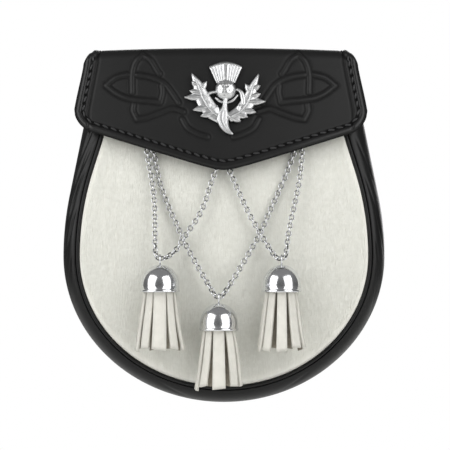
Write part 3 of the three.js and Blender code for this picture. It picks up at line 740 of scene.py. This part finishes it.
def lay_stitch(threads, spot, along, length, slant=0.0):
    """Adds one stitch: a grain of thread that lies along a direction."""
    made = bmesh.ops.create_uvsphere(threads, u_segments=8, v_segments=6, radius=1)
    turned = along.to_track_quat("Z", "Y").to_matrix().to_4x4()
    shape = Matrix.Diagonal((THREAD_RADIUS, THREAD_RADIUS, length / 2, 1))
    put = Matrix.Translation(spot) @ Matrix.Rotation(slant, 4, "Y") @ turned @ shape
    bmesh.ops.transform(threads, matrix=put, verts=made["verts"])


stitches = bmesh.new()
for spot, along in stitch_spots:
    y = flap_inside(spot.x, spot.z) - FLAP_THICKNESS + STITCH_SINK
    laid = sagged(Vector((spot.x, y, spot.z)), (spot.x - FLAP_SHIFT) / flap_half_width(spot.z))
    lay_stitch(stitches, laid, along, STITCH_LENGTH, STITCH_SLANT)
for side in (-1, 1):
    inset_side = side * (1 - STITCH_INSET / FLAP_HALF_WIDTH["crown"])
    for part, count in FOLD_STITCHES.items():
        for i in range(count):
            share = (i + 0.5) / count
            spot = flap_spot(inset_side, part, share, FLAP_THICKNESS - STITCH_SINK)
            ahead = flap_spot(inset_side, part, share + 0.01, FLAP_THICKNESS - STITCH_SINK)
            lay_stitch(stitches, sagged(spot, inset_side), ahead - spot, STITCH_LENGTH)
add_piece("flap_stitches", stitches, waxed_thread)


# The thistle badge: a die-cast thistle, polished and chromed, with ribbed flower, hatched bulb, two
# jagged leaves and a leaf-like stem. It is pinned through the flap and leans back with it.
BADGE_X = 1 * MM
BADGE_Z = 34.8 * MM
BADGE_TOP = 17.6 * MM
BADGE_LOW = -26.5 * MM
BULB_RADIUS = 6.1 * MM
BULB_FLATNESS = 0.75
# Badge lines as (x, z, half width) in millimetres from the bulb's middle.
LEAF_BODIES = {
    "left": [(-1.5, -17.5, 3.4), (-8.5, -12, 4.6), (-13, -5, 4.4), (-16, 3, 2.9), (-19.4, 9.5, 0.5)],
    "right": [(1.5, -16.5, 2.8), (8.6, -12.6, 3.9), (13.2, -6.2, 4.1), (15.4, 1, 2.6), (18.8, 9, 0.6)],
}
LEAF_TIPS = {
    "left": [(-14.3, -15.6), (-18.7, -11.9), (-23.6, -4.5), (-20.7, -0.6), (-19.6, 4.5), (-10.8, 4.8),
             (-9, -7.2), (-4.7, -9.4)],
    "right": [(8.6, -18.6), (12.6, -16), (17.4, -13.3), (22.8, -6.9), (20, -2.5), (19.8, 2.3), (11.2, 3.3),
              (7.4, -8.6)],
}
STEM = [(0, -4, 1.5), (-0.5, -10, 1.7), (-1.6, -15, 4), (-1.3, -19.5, 3.1), (0.8, -23.6, 2),
        (4.1, -26.3, 0.4)]
BARS = [
    [(-11, -4.5, 0.9), (-9, -1.9, 1), (-5.4, -1.2, 0.8)],
    [(10.4, -9, 1.3), (9.8, -4, 1.6), (8.4, -0.9, 1.1), (6.2, 0.3, 0.8)],
    [(-6, -4.6, 0.5), (-3.6, -6.6, 0.8), (-0.8, -7.6, 0.7)],
    [(7, -3, 0.5), (4.2, -6.2, 0.8), (1, -7.6, 0.7)],
]
FLOWER = {"base_half": 5.5, "base_z": 4, "top_half": 9.3, "top_z": 14.1, "arch": 2.6, "ribs": 11}

# Bright chrome on a cast or spun base: a clear mirror with a faint cast unevenness.
chrome, tree, shader, place = new_material("bright_chrome")
shader.inputs["Base Color"].default_value = linear("#E4E5E7")
shader.inputs["Metallic"].default_value = 1.0
handling = node(tree, "ShaderNodeTexNoise", {"Vector": place, "Scale": 1 / (4 * MM), "Detail": 3.0})
polish = node(tree, "ShaderNodeMapRange", {0: handling.outputs[0], 3: 0.1, 4: 0.24})
tree.links.new(polish.outputs[0], shader.inputs["Roughness"])

# The badge's own finish: white metal left as cast, lighter and darker in fine patches, with small pits.
cast_metal, tree, shader, place = new_material("burnished_casting")
casting = node(tree, "ShaderNodeTexNoise", {"Vector": place, "Scale": 1 / (1.3 * MM), "Detail": 3.0})
tarnish = node(tree, "ShaderNodeMixRGB",
               {0: casting.outputs[0], 1: linear("#BABBBC"), 2: linear("#F0F0F0")})
tree.links.new(tarnish.outputs[0], shader.inputs["Base Color"])
shader.inputs["Metallic"].default_value = 1.0
shader.inputs["Roughness"].default_value = 0.36
pitting = node(tree, "ShaderNodeBump",
               {"Height": casting.outputs[0], "Strength": 0.5, "Distance": 0.25 * MM})
tree.links.new(pitting.outputs[0], shader.inputs["Normal"])


def merged(shapes):
    """Several bmeshes as one."""
    whole = bmesh.new()
    for shape in shapes:
        carrier = bpy.data.meshes.new("carrier")
        shape.to_mesh(carrier)
        shape.free()
        whole.from_mesh(carrier)
        bpy.data.meshes.remove(carrier)
    return whole


def along_line(points):
    """path(share) along a broken line, by share of its points."""
    def path(share):
        reach = share * (len(points) - 1)
        i = min(int(reach), len(points) - 2)
        return points[i].lerp(points[i + 1], reach - i)
    return path


def ribbon(spots, height, half_height, steps=14, sides=10):
    """A cast strap through (x, z, half width) spots, its middle at a height over the badge's back."""
    line = smooth_run([Vector((x, w, z)) * MM for x, z, w in spots], 0.5 * MM)
    path = along_line([Vector((spot.x, -height * MM, spot.z)) for spot in line])
    widths = along_line(line)

    def sizes(share):
        half = max(widths(share).y, 0.2 * MM)
        return half, min(half_height * MM, half * 1.2)
    return swept(steps, sides, path, sizes)


badge_parts = []
for side, tips in LEAF_TIPS.items():
    body = LEAF_BODIES[side]
    badge_parts.append(ribbon(body, 1, 1.3, steps=26, sides=14))
    midrib = [(x, z, 0.8 - 0.12 * i) for i, (x, z, w) in enumerate(body)]
    badge_parts.append(ribbon(midrib, 2.3, 0.6, steps=26, sides=8))
    axis = smooth_run([Vector((x, 0, z)) for x, z, w in body], 0.5)
    axis_tree = tree_of(axis)
    for x, z in tips:
        tip = Vector((x, 0, z))
        base = axis[max(0, axis_tree.find(tip)[1] - 6)]
        middle = base.lerp(tip, 0.55)
        lobe = [(base.x, base.z, 1.9), (middle.x, middle.z, 2), (x, z, 0.35)]
        badge_parts.append(ribbon(lobe, 1.2, 1.2))
        badge_parts.append(ribbon([(px, pz, 0.25 * w) for px, pz, w in lobe], 2.3, 0.5, sides=6))
badge_parts.append(ribbon(STEM, 1.3, 1.6, steps=26, sides=14))
for shift in (-1, 0, 1):
    vein = [(x + shift * w * 0.55, z, 0.16 * w) for x, z, w in STEM]
    badge_parts.append(ribbon(vein, 2.8, 0.6, steps=24, sides=6))
badge_parts += [ribbon(bar, 1.3, 1.2) for bar in BARS]


def flower_place(across, along):
    """The flower's fan: ribbed, with a plain middle, crowned across and turned back at its top."""
    share = 2 * across - 1
    x = share * lerp(FLOWER["base_half"], FLOWER["top_half"], min(along / 0.86, 1))
    z = lerp(FLOWER["base_z"], FLOWER["top_z"], along) + FLOWER["arch"] * (1 - share ** 2) * along
    ribs = 0.8 * abs(math.sin(FLOWER["ribs"] * math.pi * across)) ** 0.35 - 0.4
    ribs *= eased(0.1, 0.2, abs(share)) * (1 - eased(0.82, 0.86, along))
    brow = 0.5 * dent(along - 0.9, 0.05) - 1.1 * eased(0.9, 1, along)
    return Vector((x, -(2.2 + ribs + brow - 0.9 * share ** 2), z)) * MM


fan = bent_sheet(110, 36, flower_place)
bmesh.ops.reverse_faces(fan, faces=fan.faces)
rim = [edge for edge in fan.edges if edge.is_boundary]
wall = bmesh.ops.extrude_edge_only(fan, edges=rim)["geom"]
back_rim = [item for item in wall if isinstance(item, bmesh.types.BMVert)]
for vert in back_rim:
    vert.co.y = 0
bmesh.ops.holes_fill(fan, edges=[edge for edge in fan.edges if edge.is_boundary], sides=0)
bmesh.ops.recalc_face_normals(fan, faces=fan.faces)
badge_parts.append(fan)

HATCH = {"across": 8, "up": 9, "depth": 0.3 * MM, "from": 0.25}
DIMPLES = [(-1.1, 1.2), (-1.1, -1.6), (-2.9, -1), (1.8, -1.2), (-0.6, -3.6), (0.9, 1.4), (3.2, 0.4)]
bulb = bmesh.new()
bmesh.ops.create_uvsphere(bulb, u_segments=64, v_segments=40, radius=BULB_RADIUS)
for vert in bulb.verts:
    x, z = vert.co.x, vert.co.z
    hatched = eased(HATCH["from"], HATCH["from"] + 0.2, z / BULB_RADIUS)
    cell = math.sin(HATCH["across"] * (x + z) / BULB_RADIUS) * math.sin(HATCH["up"] * (x - z) / BULB_RADIUS)
    pits = sum(dent(math.hypot(x - px * MM, z - pz * MM), 0.6 * MM) for px, pz in DIMPLES)
    vert.co *= 1 + (HATCH["depth"] * cell * hatched - 0.55 * MM * pits) / BULB_RADIUS
    vert.co.y = min(vert.co.y * BULB_FLATNESS - 0.8 * MM, 0)
badge_parts.append(bulb)

badge = merged(badge_parts)
for vert in badge.verts:
    vert.co.y = min(vert.co.y, 0)
top_y = flap_inside(BADGE_X, BADGE_Z + BADGE_TOP)
low_y = flap_inside(BADGE_X, BADGE_Z + BADGE_LOW)
lean = math.atan2(top_y - low_y, BADGE_TOP - BADGE_LOW)
seat_y = lerp(low_y, top_y, -BADGE_LOW / (BADGE_TOP - BADGE_LOW)) - FLAP_THICKNESS - GAP
seat = Matrix.Translation((BADGE_X, seat_y, BADGE_Z)) @ Matrix.Rotation(-lean, 4, "X")
bmesh.ops.transform(badge, matrix=seat, verts=badge.verts)
add_piece("badge_cast", badge, cast_metal, nodes=["thistle_badge"])


# The hidden stud and staples: a plain press stud and three bent wires under the flap, plated bright
# and pushed through the hide. Their solids have the right shape and stay.
for name in ("flap_stud", "chain_staple_left", "chain_staple_middle", "chain_staple_right"):
    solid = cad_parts[name]
    solid.data.materials.clear()
    solid.data.materials.append(chrome)


# The belt loops: two short straps of black leather on the back, raised in the middle and sewn down
# at both ends, so that a strap passes through.
LOOP_X = 45 * MM
LOOP_HALF_WIDTH = 11 * MM
LOOP_HALF_HEIGHT = 27 * MM
LOOP_RAISED_Y = 8.35 * MM
LOOP_TAB_Y = 2.35 * MM
LOOP_RAMP = (15.6 * MM, 21 * MM)
LOOP_STITCHES = 5
LOOP_STITCH_REACH = 8 * MM
LOOP_STITCH_Z = 24 * MM
LOOP_STITCH_LENGTH = 3.2 * MM
LOOP_STITCH_Y = 2.25 * MM


def loop_place(across, along):
    """A loop's rear face, in the middle of the back: raised, with a ramp down to each sewn end."""
    z = lerp(-LOOP_HALF_HEIGHT, LOOP_HALF_HEIGHT, along)
    y = lerp(LOOP_RAISED_Y, LOOP_TAB_Y, eased(*LOOP_RAMP, abs(z)))
    return Vector(((2 * across - 1) * LOOP_HALF_WIDTH, y, z))


loop_stitches = bmesh.new()
for loop_x, name in ((-LOOP_X, "belt_loop_left"), (LOOP_X, "belt_loop_right")):
    strap = bent_sheet(6, 72, loop_place)
    bmesh.ops.translate(strap, vec=(loop_x, 0, 0), verts=strap.verts)
    bmesh.ops.reverse_faces(strap, faces=strap.faces)
    add_piece(name + "_leather", strap, black_leather, nodes=[name],
              thickness=LEATHER_THICKNESS)
    for z in (-LOOP_STITCH_Z, LOOP_STITCH_Z):
        for i in range(LOOP_STITCHES):
            x = loop_x + lerp(-LOOP_STITCH_REACH, LOOP_STITCH_REACH, i / (LOOP_STITCHES - 1))
            lay_stitch(loop_stitches, Vector((x, LOOP_STITCH_Y, z)), Vector((1, 0, 0)), LOOP_STITCH_LENGTH)
add_piece("belt_loop_stitches", loop_stitches, waxed_thread)


# The chains: chromed cable chain, each link an oval of wire turned a quarter against the next. Each
# chain runs from a staple down through a tassel's eye, where its links twist to let the eye swing,
# and up to another staple.
CAP_RADIUS = 11.3 * MM
CAP_CLEARANCE = 0.5 * MM
STAPLE_REACH = 3.2 * MM
LINK_PITCH = 2.45 * MM
LINK_HALF_LENGTH = 1.75 * MM
LINK_HALF_WIDTH = 1.4 * MM
LINK_WIRE = 0.42 * MM
EYE_TWIST = math.radians(45)
TWISTED_LINKS = 6
# Each chain's eye, how far its strands hang back, and its strands as (x, z) spots in millimetres.
CHAINS = {
    "left": {
        "eye": (-36.2, -61.2),
        "sag": 1,
        "down": [(-44.4, 2.4), (-42.6, -9), (-40.8, -19), (-39.7, -29), (-39.3, -39), (-39.1, -48),
                 (-39, -56), (-38.6, -59.2), (-37.7, -60.8)],
        "up": [(-34.4, -61.2), (-32, -60.3), (-29.2, -58.4), (-26, -55), (-21, -47), (-15.1, -38.5),
               (-11, -30), (-8, -20.5), (-5.2, -12.5), (-3.6, -7.6)],
    },
    "middle": {
        "eye": (-2.9, -83),
        "sag": 1.25,
        "down": [(-40.6, 2.4), (-38.8, -9), (-35.7, -21), (-31.6, -32), (-26.6, -43), (-21, -55),
                 (-14.6, -66.5), (-8.6, -76.5), (-6.2, -80.6), (-4.7, -82.6)],
        "up": [(-1.1, -82.6), (0.4, -80.6), (3.2, -76.5), (9.4, -66.5), (15.6, -56), (21, -46.5),
               (26, -35), (31, -24), (35.8, -13), (39.4, -3.5), (41.2, 2.4)],
    },
    "right": {
        "eye": (32.7, -61.2),
        "sag": 1,
        "down": [(45, 2.4), (44.2, -8), (42.9, -18), (40.9, -28), (38.8, -37), (36.8, -47), (35.6, -56),
                 (35.1, -59.2), (34.2, -60.8)],
        "up": [(30.9, -61.2), (28.4, -59.2), (24.6, -53.5), (20.2, -46.5), (14.8, -36.9), (9.4, -25.5),
               (4.8, -15), (2, -7.6)],
    },
}


def eye_of(chain):
    """Where a chain passes through its tassel's eye, which is also where the tassel swings."""
    x, z = (value * MM for value in chain["eye"])
    return Vector((x, hide_front(x, z) - CAP_RADIUS - CAP_CLEARANCE, z))


def strand(spots, chain):
    """A strand from its staple, close to the hide, to the eye in front of it."""
    eye = eye_of(chain)
    top_x, top_z = (value * MM for value in spots[0])
    top_y = hide_front(top_x, top_z) - GAP - STAPLE_REACH
    placed = []
    for x, z in spots:
        share = clamp((top_z - z * MM) / (top_z - eye.z)) ** chain["sag"]
        placed.append(Vector((x * MM, lerp(top_y, eye.y, share), z * MM)))
    return placed


def link_place(around, across):
    """One wire oval, its length along Z and its face towards Y."""
    turn = 2 * math.pi * around
    spot = Vector((LINK_HALF_WIDTH * math.cos(turn), 0, LINK_HALF_LENGTH * math.sin(turn)))
    outward = Vector((LINK_HALF_LENGTH * math.cos(turn), 0, LINK_HALF_WIDTH * math.sin(turn))).normalized()
    angle = 2 * math.pi * across
    return spot + outward * LINK_WIRE * math.cos(angle) + Vector((0, LINK_WIRE * math.sin(angle), 0))


def ring_mesh(segments, sides, place):
    """A closed ring from a grid whose ends meet both ways."""
    ring = bent_sheet(segments, sides, place)
    bmesh.ops.remove_doubles(ring, verts=ring.verts, dist=1e-7)
    bmesh.ops.recalc_face_normals(ring, faces=ring.faces)
    return ring


def copies(template, matrices):
    """One bmesh of many placed copies of a small one, joined through arrays."""
    template.verts.index_update()
    corners = np.array([(*vert.co, 1) for vert in template.verts])
    faces = np.array([[vert.index for vert in face.verts] for face in template.faces])
    placed = np.concatenate([(corners @ np.array(matrix).T)[:, :3] for matrix in matrices])
    joined_faces = np.concatenate([faces + i * len(corners) for i in range(len(matrices))])
    carrier = bpy.data.meshes.new("carrier")
    carrier.from_pydata(placed.tolist(), [], joined_faces.tolist())
    template.free()
    whole = bmesh.new()
    whole.from_mesh(carrier)
    bpy.data.meshes.remove(carrier)
    return whole


# The chain's chrome: the same plating, bright outside, with painted shade darkening the inside of every
# link.
chain_chrome = chrome.copy()
chain_chrome.name = "chain_chrome"
tree = chain_chrome.node_tree
inner_side = node(tree, "ShaderNodeAttribute", attribute_name="inner_side")
# Painted shade: the base colour goes from bright on the outside of each link to dark on its inner side.
link_inside_shade = node(tree, "ShaderNodeMixRGB",
             {0: inner_side.outputs["Fac"], 1: linear("#E4E5E7"), 2: linear("#404042")})
tree.links.new(link_inside_shade.outputs[0], tree.nodes["Principled BSDF"].inputs["Base Color"])

for name, chain in CHAINS.items():
    eye = eye_of(chain)
    down = strand(chain["down"], chain)
    up = strand(chain["up"][::-1], chain)[::-1]
    line = smooth_run([*down, eye, *up], 0.4 * MM)
    middle = min(range(len(line)), key=lambda i: (line[i] - eye).length)
    matrices = []
    for half in (line[middle::-1], line[middle:]):
        for i, (spot, along) in enumerate(evenly(half, LINK_PITCH, LINK_PITCH / 2)):
            sideways = along.cross(Vector((0, -1, 0))).normalized()
            facing = sideways.cross(along)
            basis = Matrix((sideways, facing, along)).transposed().to_4x4()
            twist = i % 2 * math.pi / 2 + EYE_TWIST * clamp(1 - i / TWISTED_LINKS)
            matrices.append(Matrix.Translation(spot) @ basis @ Matrix.Rotation(twist, 4, "Z"))
    link = ring_mesh(14, 6, link_place)
    reach = [math.hypot(vert.co.x / LINK_HALF_WIDTH, vert.co.z / LINK_HALF_LENGTH) for vert in link.verts]
    # The painted shade's mask: 1 on the inside of the oval, 0 outside it.
    inner = [eased(1.1, 0.8, share) for share in reach]
    links = copies(link, matrices)
    inner_layer = links.verts.layers.float.new("inner_side")
    for vert, share in zip(links.verts, inner * len(matrices)):
        vert[inner_layer] = share
    add_piece("chain_" + name + "_links", links, chain_chrome, nodes=["chain_" + name])


# The tassel caps: spun metal domes with a rolled rim, each with a wire eye soldered on top.
DOME_RADIUS = 10.8 * MM
DOME_TOP = -3.55 * MM
DOME_LOW = -15.15 * MM
CAP_RIM = -19.15 * MM
CAP_WALL = 1.2 * MM
EYE_RADIUS = 2.7 * MM
EYE_WIRE = 0.5 * MM
EYE_Z = -0.65 * MM
DOME_STEPS = 20
RIM_BEAD = [(10.8, -17.5), (11.05, -17.7), (11.25, -18.05), (11.3, -18.4), (11.25, -18.8), (11.05, -19.08),
            (10.7, -19.15), (9.9, -19.15), (9.65, -18.95)]


def dome_profile(radius, top):
    spots = []
    for i in range(DOME_STEPS + 1):
        angle = math.pi / 2 * (1 - i / DOME_STEPS)
        x = radius * math.cos(angle) if i else 0.0
        spots.append(Vector((x, 0, DOME_LOW + (top - DOME_LOW) * math.sin(angle))))
    return spots


def spun(profile, segments):
    """A closed body turned about the Z axis from a profile that starts and ends on it."""
    turned = bmesh.new()
    verts = [turned.verts.new(spot) for spot in profile]
    edges = [turned.edges.new(pair) for pair in zip(verts, verts[1:])]
    bmesh.ops.spin(turned, geom=verts + edges, cent=(0, 0, 0), axis=(0, 0, 1), angle=2 * math.pi,
                   steps=segments, use_merge=True)
    bmesh.ops.remove_doubles(turned, verts=turned.verts, dist=1e-6)
    bmesh.ops.recalc_face_normals(turned, faces=turned.faces)
    return turned


def eye_place(around, across):
    turn = 2 * math.pi * around
    angle = 2 * math.pi * across
    reach = EYE_RADIUS + EYE_WIRE * math.cos(angle)
    return Vector((EYE_WIRE * math.sin(angle), reach * math.cos(turn), EYE_Z + reach * math.sin(turn)))


for name, chain in CHAINS.items():
    tassel = "tassel_" + name
    inside = dome_profile(DOME_RADIUS - CAP_WALL, DOME_TOP - CAP_WALL)[::-1]
    bead = [Vector((x, 0, z)) * MM for x, z in RIM_BEAD]
    dome = spun([*dome_profile(DOME_RADIUS, DOME_TOP), *bead, *inside], 64)
    cap = merged([dome, ring_mesh(28, 10, eye_place)])
    bmesh.ops.translate(cap, vec=eye_of(chain), verts=cap.verts)
    add_piece(tassel + "_dome", cap, chrome, body=tassel, nodes=[tassel + "_cap"])


# The tassel strips: nine strips of pale leather, bound into a head inside the cap and left to
# spread. Each is cut by hand, so that widths, lengths and bends differ a little.
STRIP_COUNT = 9
STRIP_WIDTH = 5.5 * MM
STRIP_THICKNESS = 1.6 * MM
STRIP_LENGTH = 33.5 * MM
STRIP_TOP_RADIUS = 7.4 * MM
STRIP_SPREAD_X = 13 * MM
STRIP_SPREAD_Y = 9.5 * MM
STRIP_FLARE = 0.8
HEAD_RADIUS = 9.2 * MM
HEAD_RISE = 5 * MM
STRIP_ROWS = 16
STRIP_SHORTER = 3 * MM
STRIP_SWAY = 0.7 * MM
STRIP_SLOPE = 1.2 * MM
STRIP_RIPPLE = 0.35 * MM
STRIP_RIPPLE_TURNS = 5
STRIP_TOP_SHARE = 0.8
FRONT_STRIP_WIDTH = {"left": 8.4 * MM, "middle": 7.6 * MM, "right": 6.2 * MM}

# Pale chamois leather: matt, cream white, faintly blotched, with a soft fibrous cut edge.
chamois, tree, shader, place = new_material("pale_chamois")
blotch = node(tree, "ShaderNodeTexNoise", {"Vector": place, "Scale": 1 / (5 * MM), "Detail": 5.0})
cream = node(tree, "ShaderNodeMixRGB", {0: blotch.outputs[0], 1: linear("#C6C4BB"), 2: linear("#E2E0D8")})
tree.links.new(cream.outputs[0], shader.inputs["Base Color"])
shader.inputs["Roughness"].default_value = 0.8
fibre = node(tree, "ShaderNodeTexNoise", {"Vector": place, "Scale": 1 / (0.6 * MM), "Detail": 2.0})
nap = node(tree, "ShaderNodeBump", {"Height": fibre.outputs[0], "Strength": 0.3, "Distance": 0.2 * MM})
tree.links.new(nap.outputs[0], shader.inputs["Normal"])

# The flesh side of the same leather, which faces into the tassel: rougher, and painted darker and browner
# as shade for the shadow that shows in the gaps between the strips.
inner_chamois_shade, tree, shader, place = new_material("chamois_inner_painted_shade")
inner_blotch = node(tree, "ShaderNodeTexNoise", {"Vector": place, "Scale": 1 / (2 * MM), "Detail": 5.0})
inner_shade_tones = node(tree, "ShaderNodeMixRGB",
                   {0: inner_blotch.outputs[0], 1: linear("#6E685C"), 2: linear("#A09A8C")})
tree.links.new(inner_shade_tones.outputs[0], shader.inputs["Base Color"])
shader.inputs["Roughness"].default_value = 0.95


def hanging_strip(angle, length, width, sway, phase, slope):
    """One strip below its head, angle round the tassel: it flares, bows and sways as it was cut."""
    out = Vector((math.cos(angle), math.sin(angle)))

    def place(across, along):
        flare = along ** STRIP_FLARE
        ripple = STRIP_RIPPLE * along * math.sin(STRIP_RIPPLE_TURNS * along + phase)
        stand = STRIP_THICKNESS / 2 + sway * math.sin(math.pi * along) + ripple
        reach_x = lerp(STRIP_TOP_RADIUS, STRIP_SPREAD_X, flare) + stand
        reach_y = lerp(STRIP_TOP_RADIUS, STRIP_SPREAD_Y, flare) + stand
        sideways = (across - 0.5) * width * lerp(STRIP_TOP_SHARE, 1, along) + sway * along ** 2
        z = lerp(CAP_RIM + HEAD_RISE / 2, CAP_RIM - length, along) + slope * (across - 0.5) * along
        return Vector((out.x * reach_x - out.y * sideways, out.y * reach_y + out.x * sideways, z))

    strip = bent_sheet(4, STRIP_ROWS, place)
    bmesh.ops.reverse_faces(strip, faces=strip.faces)
    return strip


chance = random.Random(7)
for name, chain in CHAINS.items():
    tassel = "tassel_" + name
    strips = []
    for i in range(STRIP_COUNT):
        angle = -math.pi / 2 + 2 * math.pi * i / STRIP_COUNT
        length = STRIP_LENGTH - chance.uniform(0, STRIP_SHORTER)
        width = STRIP_WIDTH * chance.uniform(0.82, 1.08) if i else FRONT_STRIP_WIDTH[name]
        sway = chance.uniform(-STRIP_SWAY, STRIP_SWAY)
        phase = chance.uniform(0, 6)
        slope = chance.uniform(-STRIP_SLOPE, STRIP_SLOPE)
        strips.append(hanging_strip(angle, length, width, sway, phase, slope))
    bundle = merged(strips)
    bmesh.ops.translate(bundle, vec=eye_of(chain), verts=bundle.verts)
    fringe = add_piece(tassel + "_fringe", bundle, chamois, body=tassel,
                       nodes=[tassel + "_strips"], thickness=STRIP_THICKNESS)
    # The strips' inner faces take the darker chamois, painted shade for the tassel's shadowed inside.
    fringe.data.materials.append(inner_chamois_shade)
    fringe.modifiers["wall"].material_offset = 1
    head = bmesh.new()
    bmesh.ops.create_cone(head, cap_ends=True, segments=40, radius1=HEAD_RADIUS, radius2=HEAD_RADIUS,
                          depth=HEAD_RISE)
    head_middle = eye_of(chain) + Vector((0, 0, CAP_RIM + HEAD_RISE / 2 + GAP))
    bmesh.ops.translate(head, vec=head_middle, verts=head.verts)
    add_piece(tassel + "_head", head, chamois, body=tassel, smooth=False)
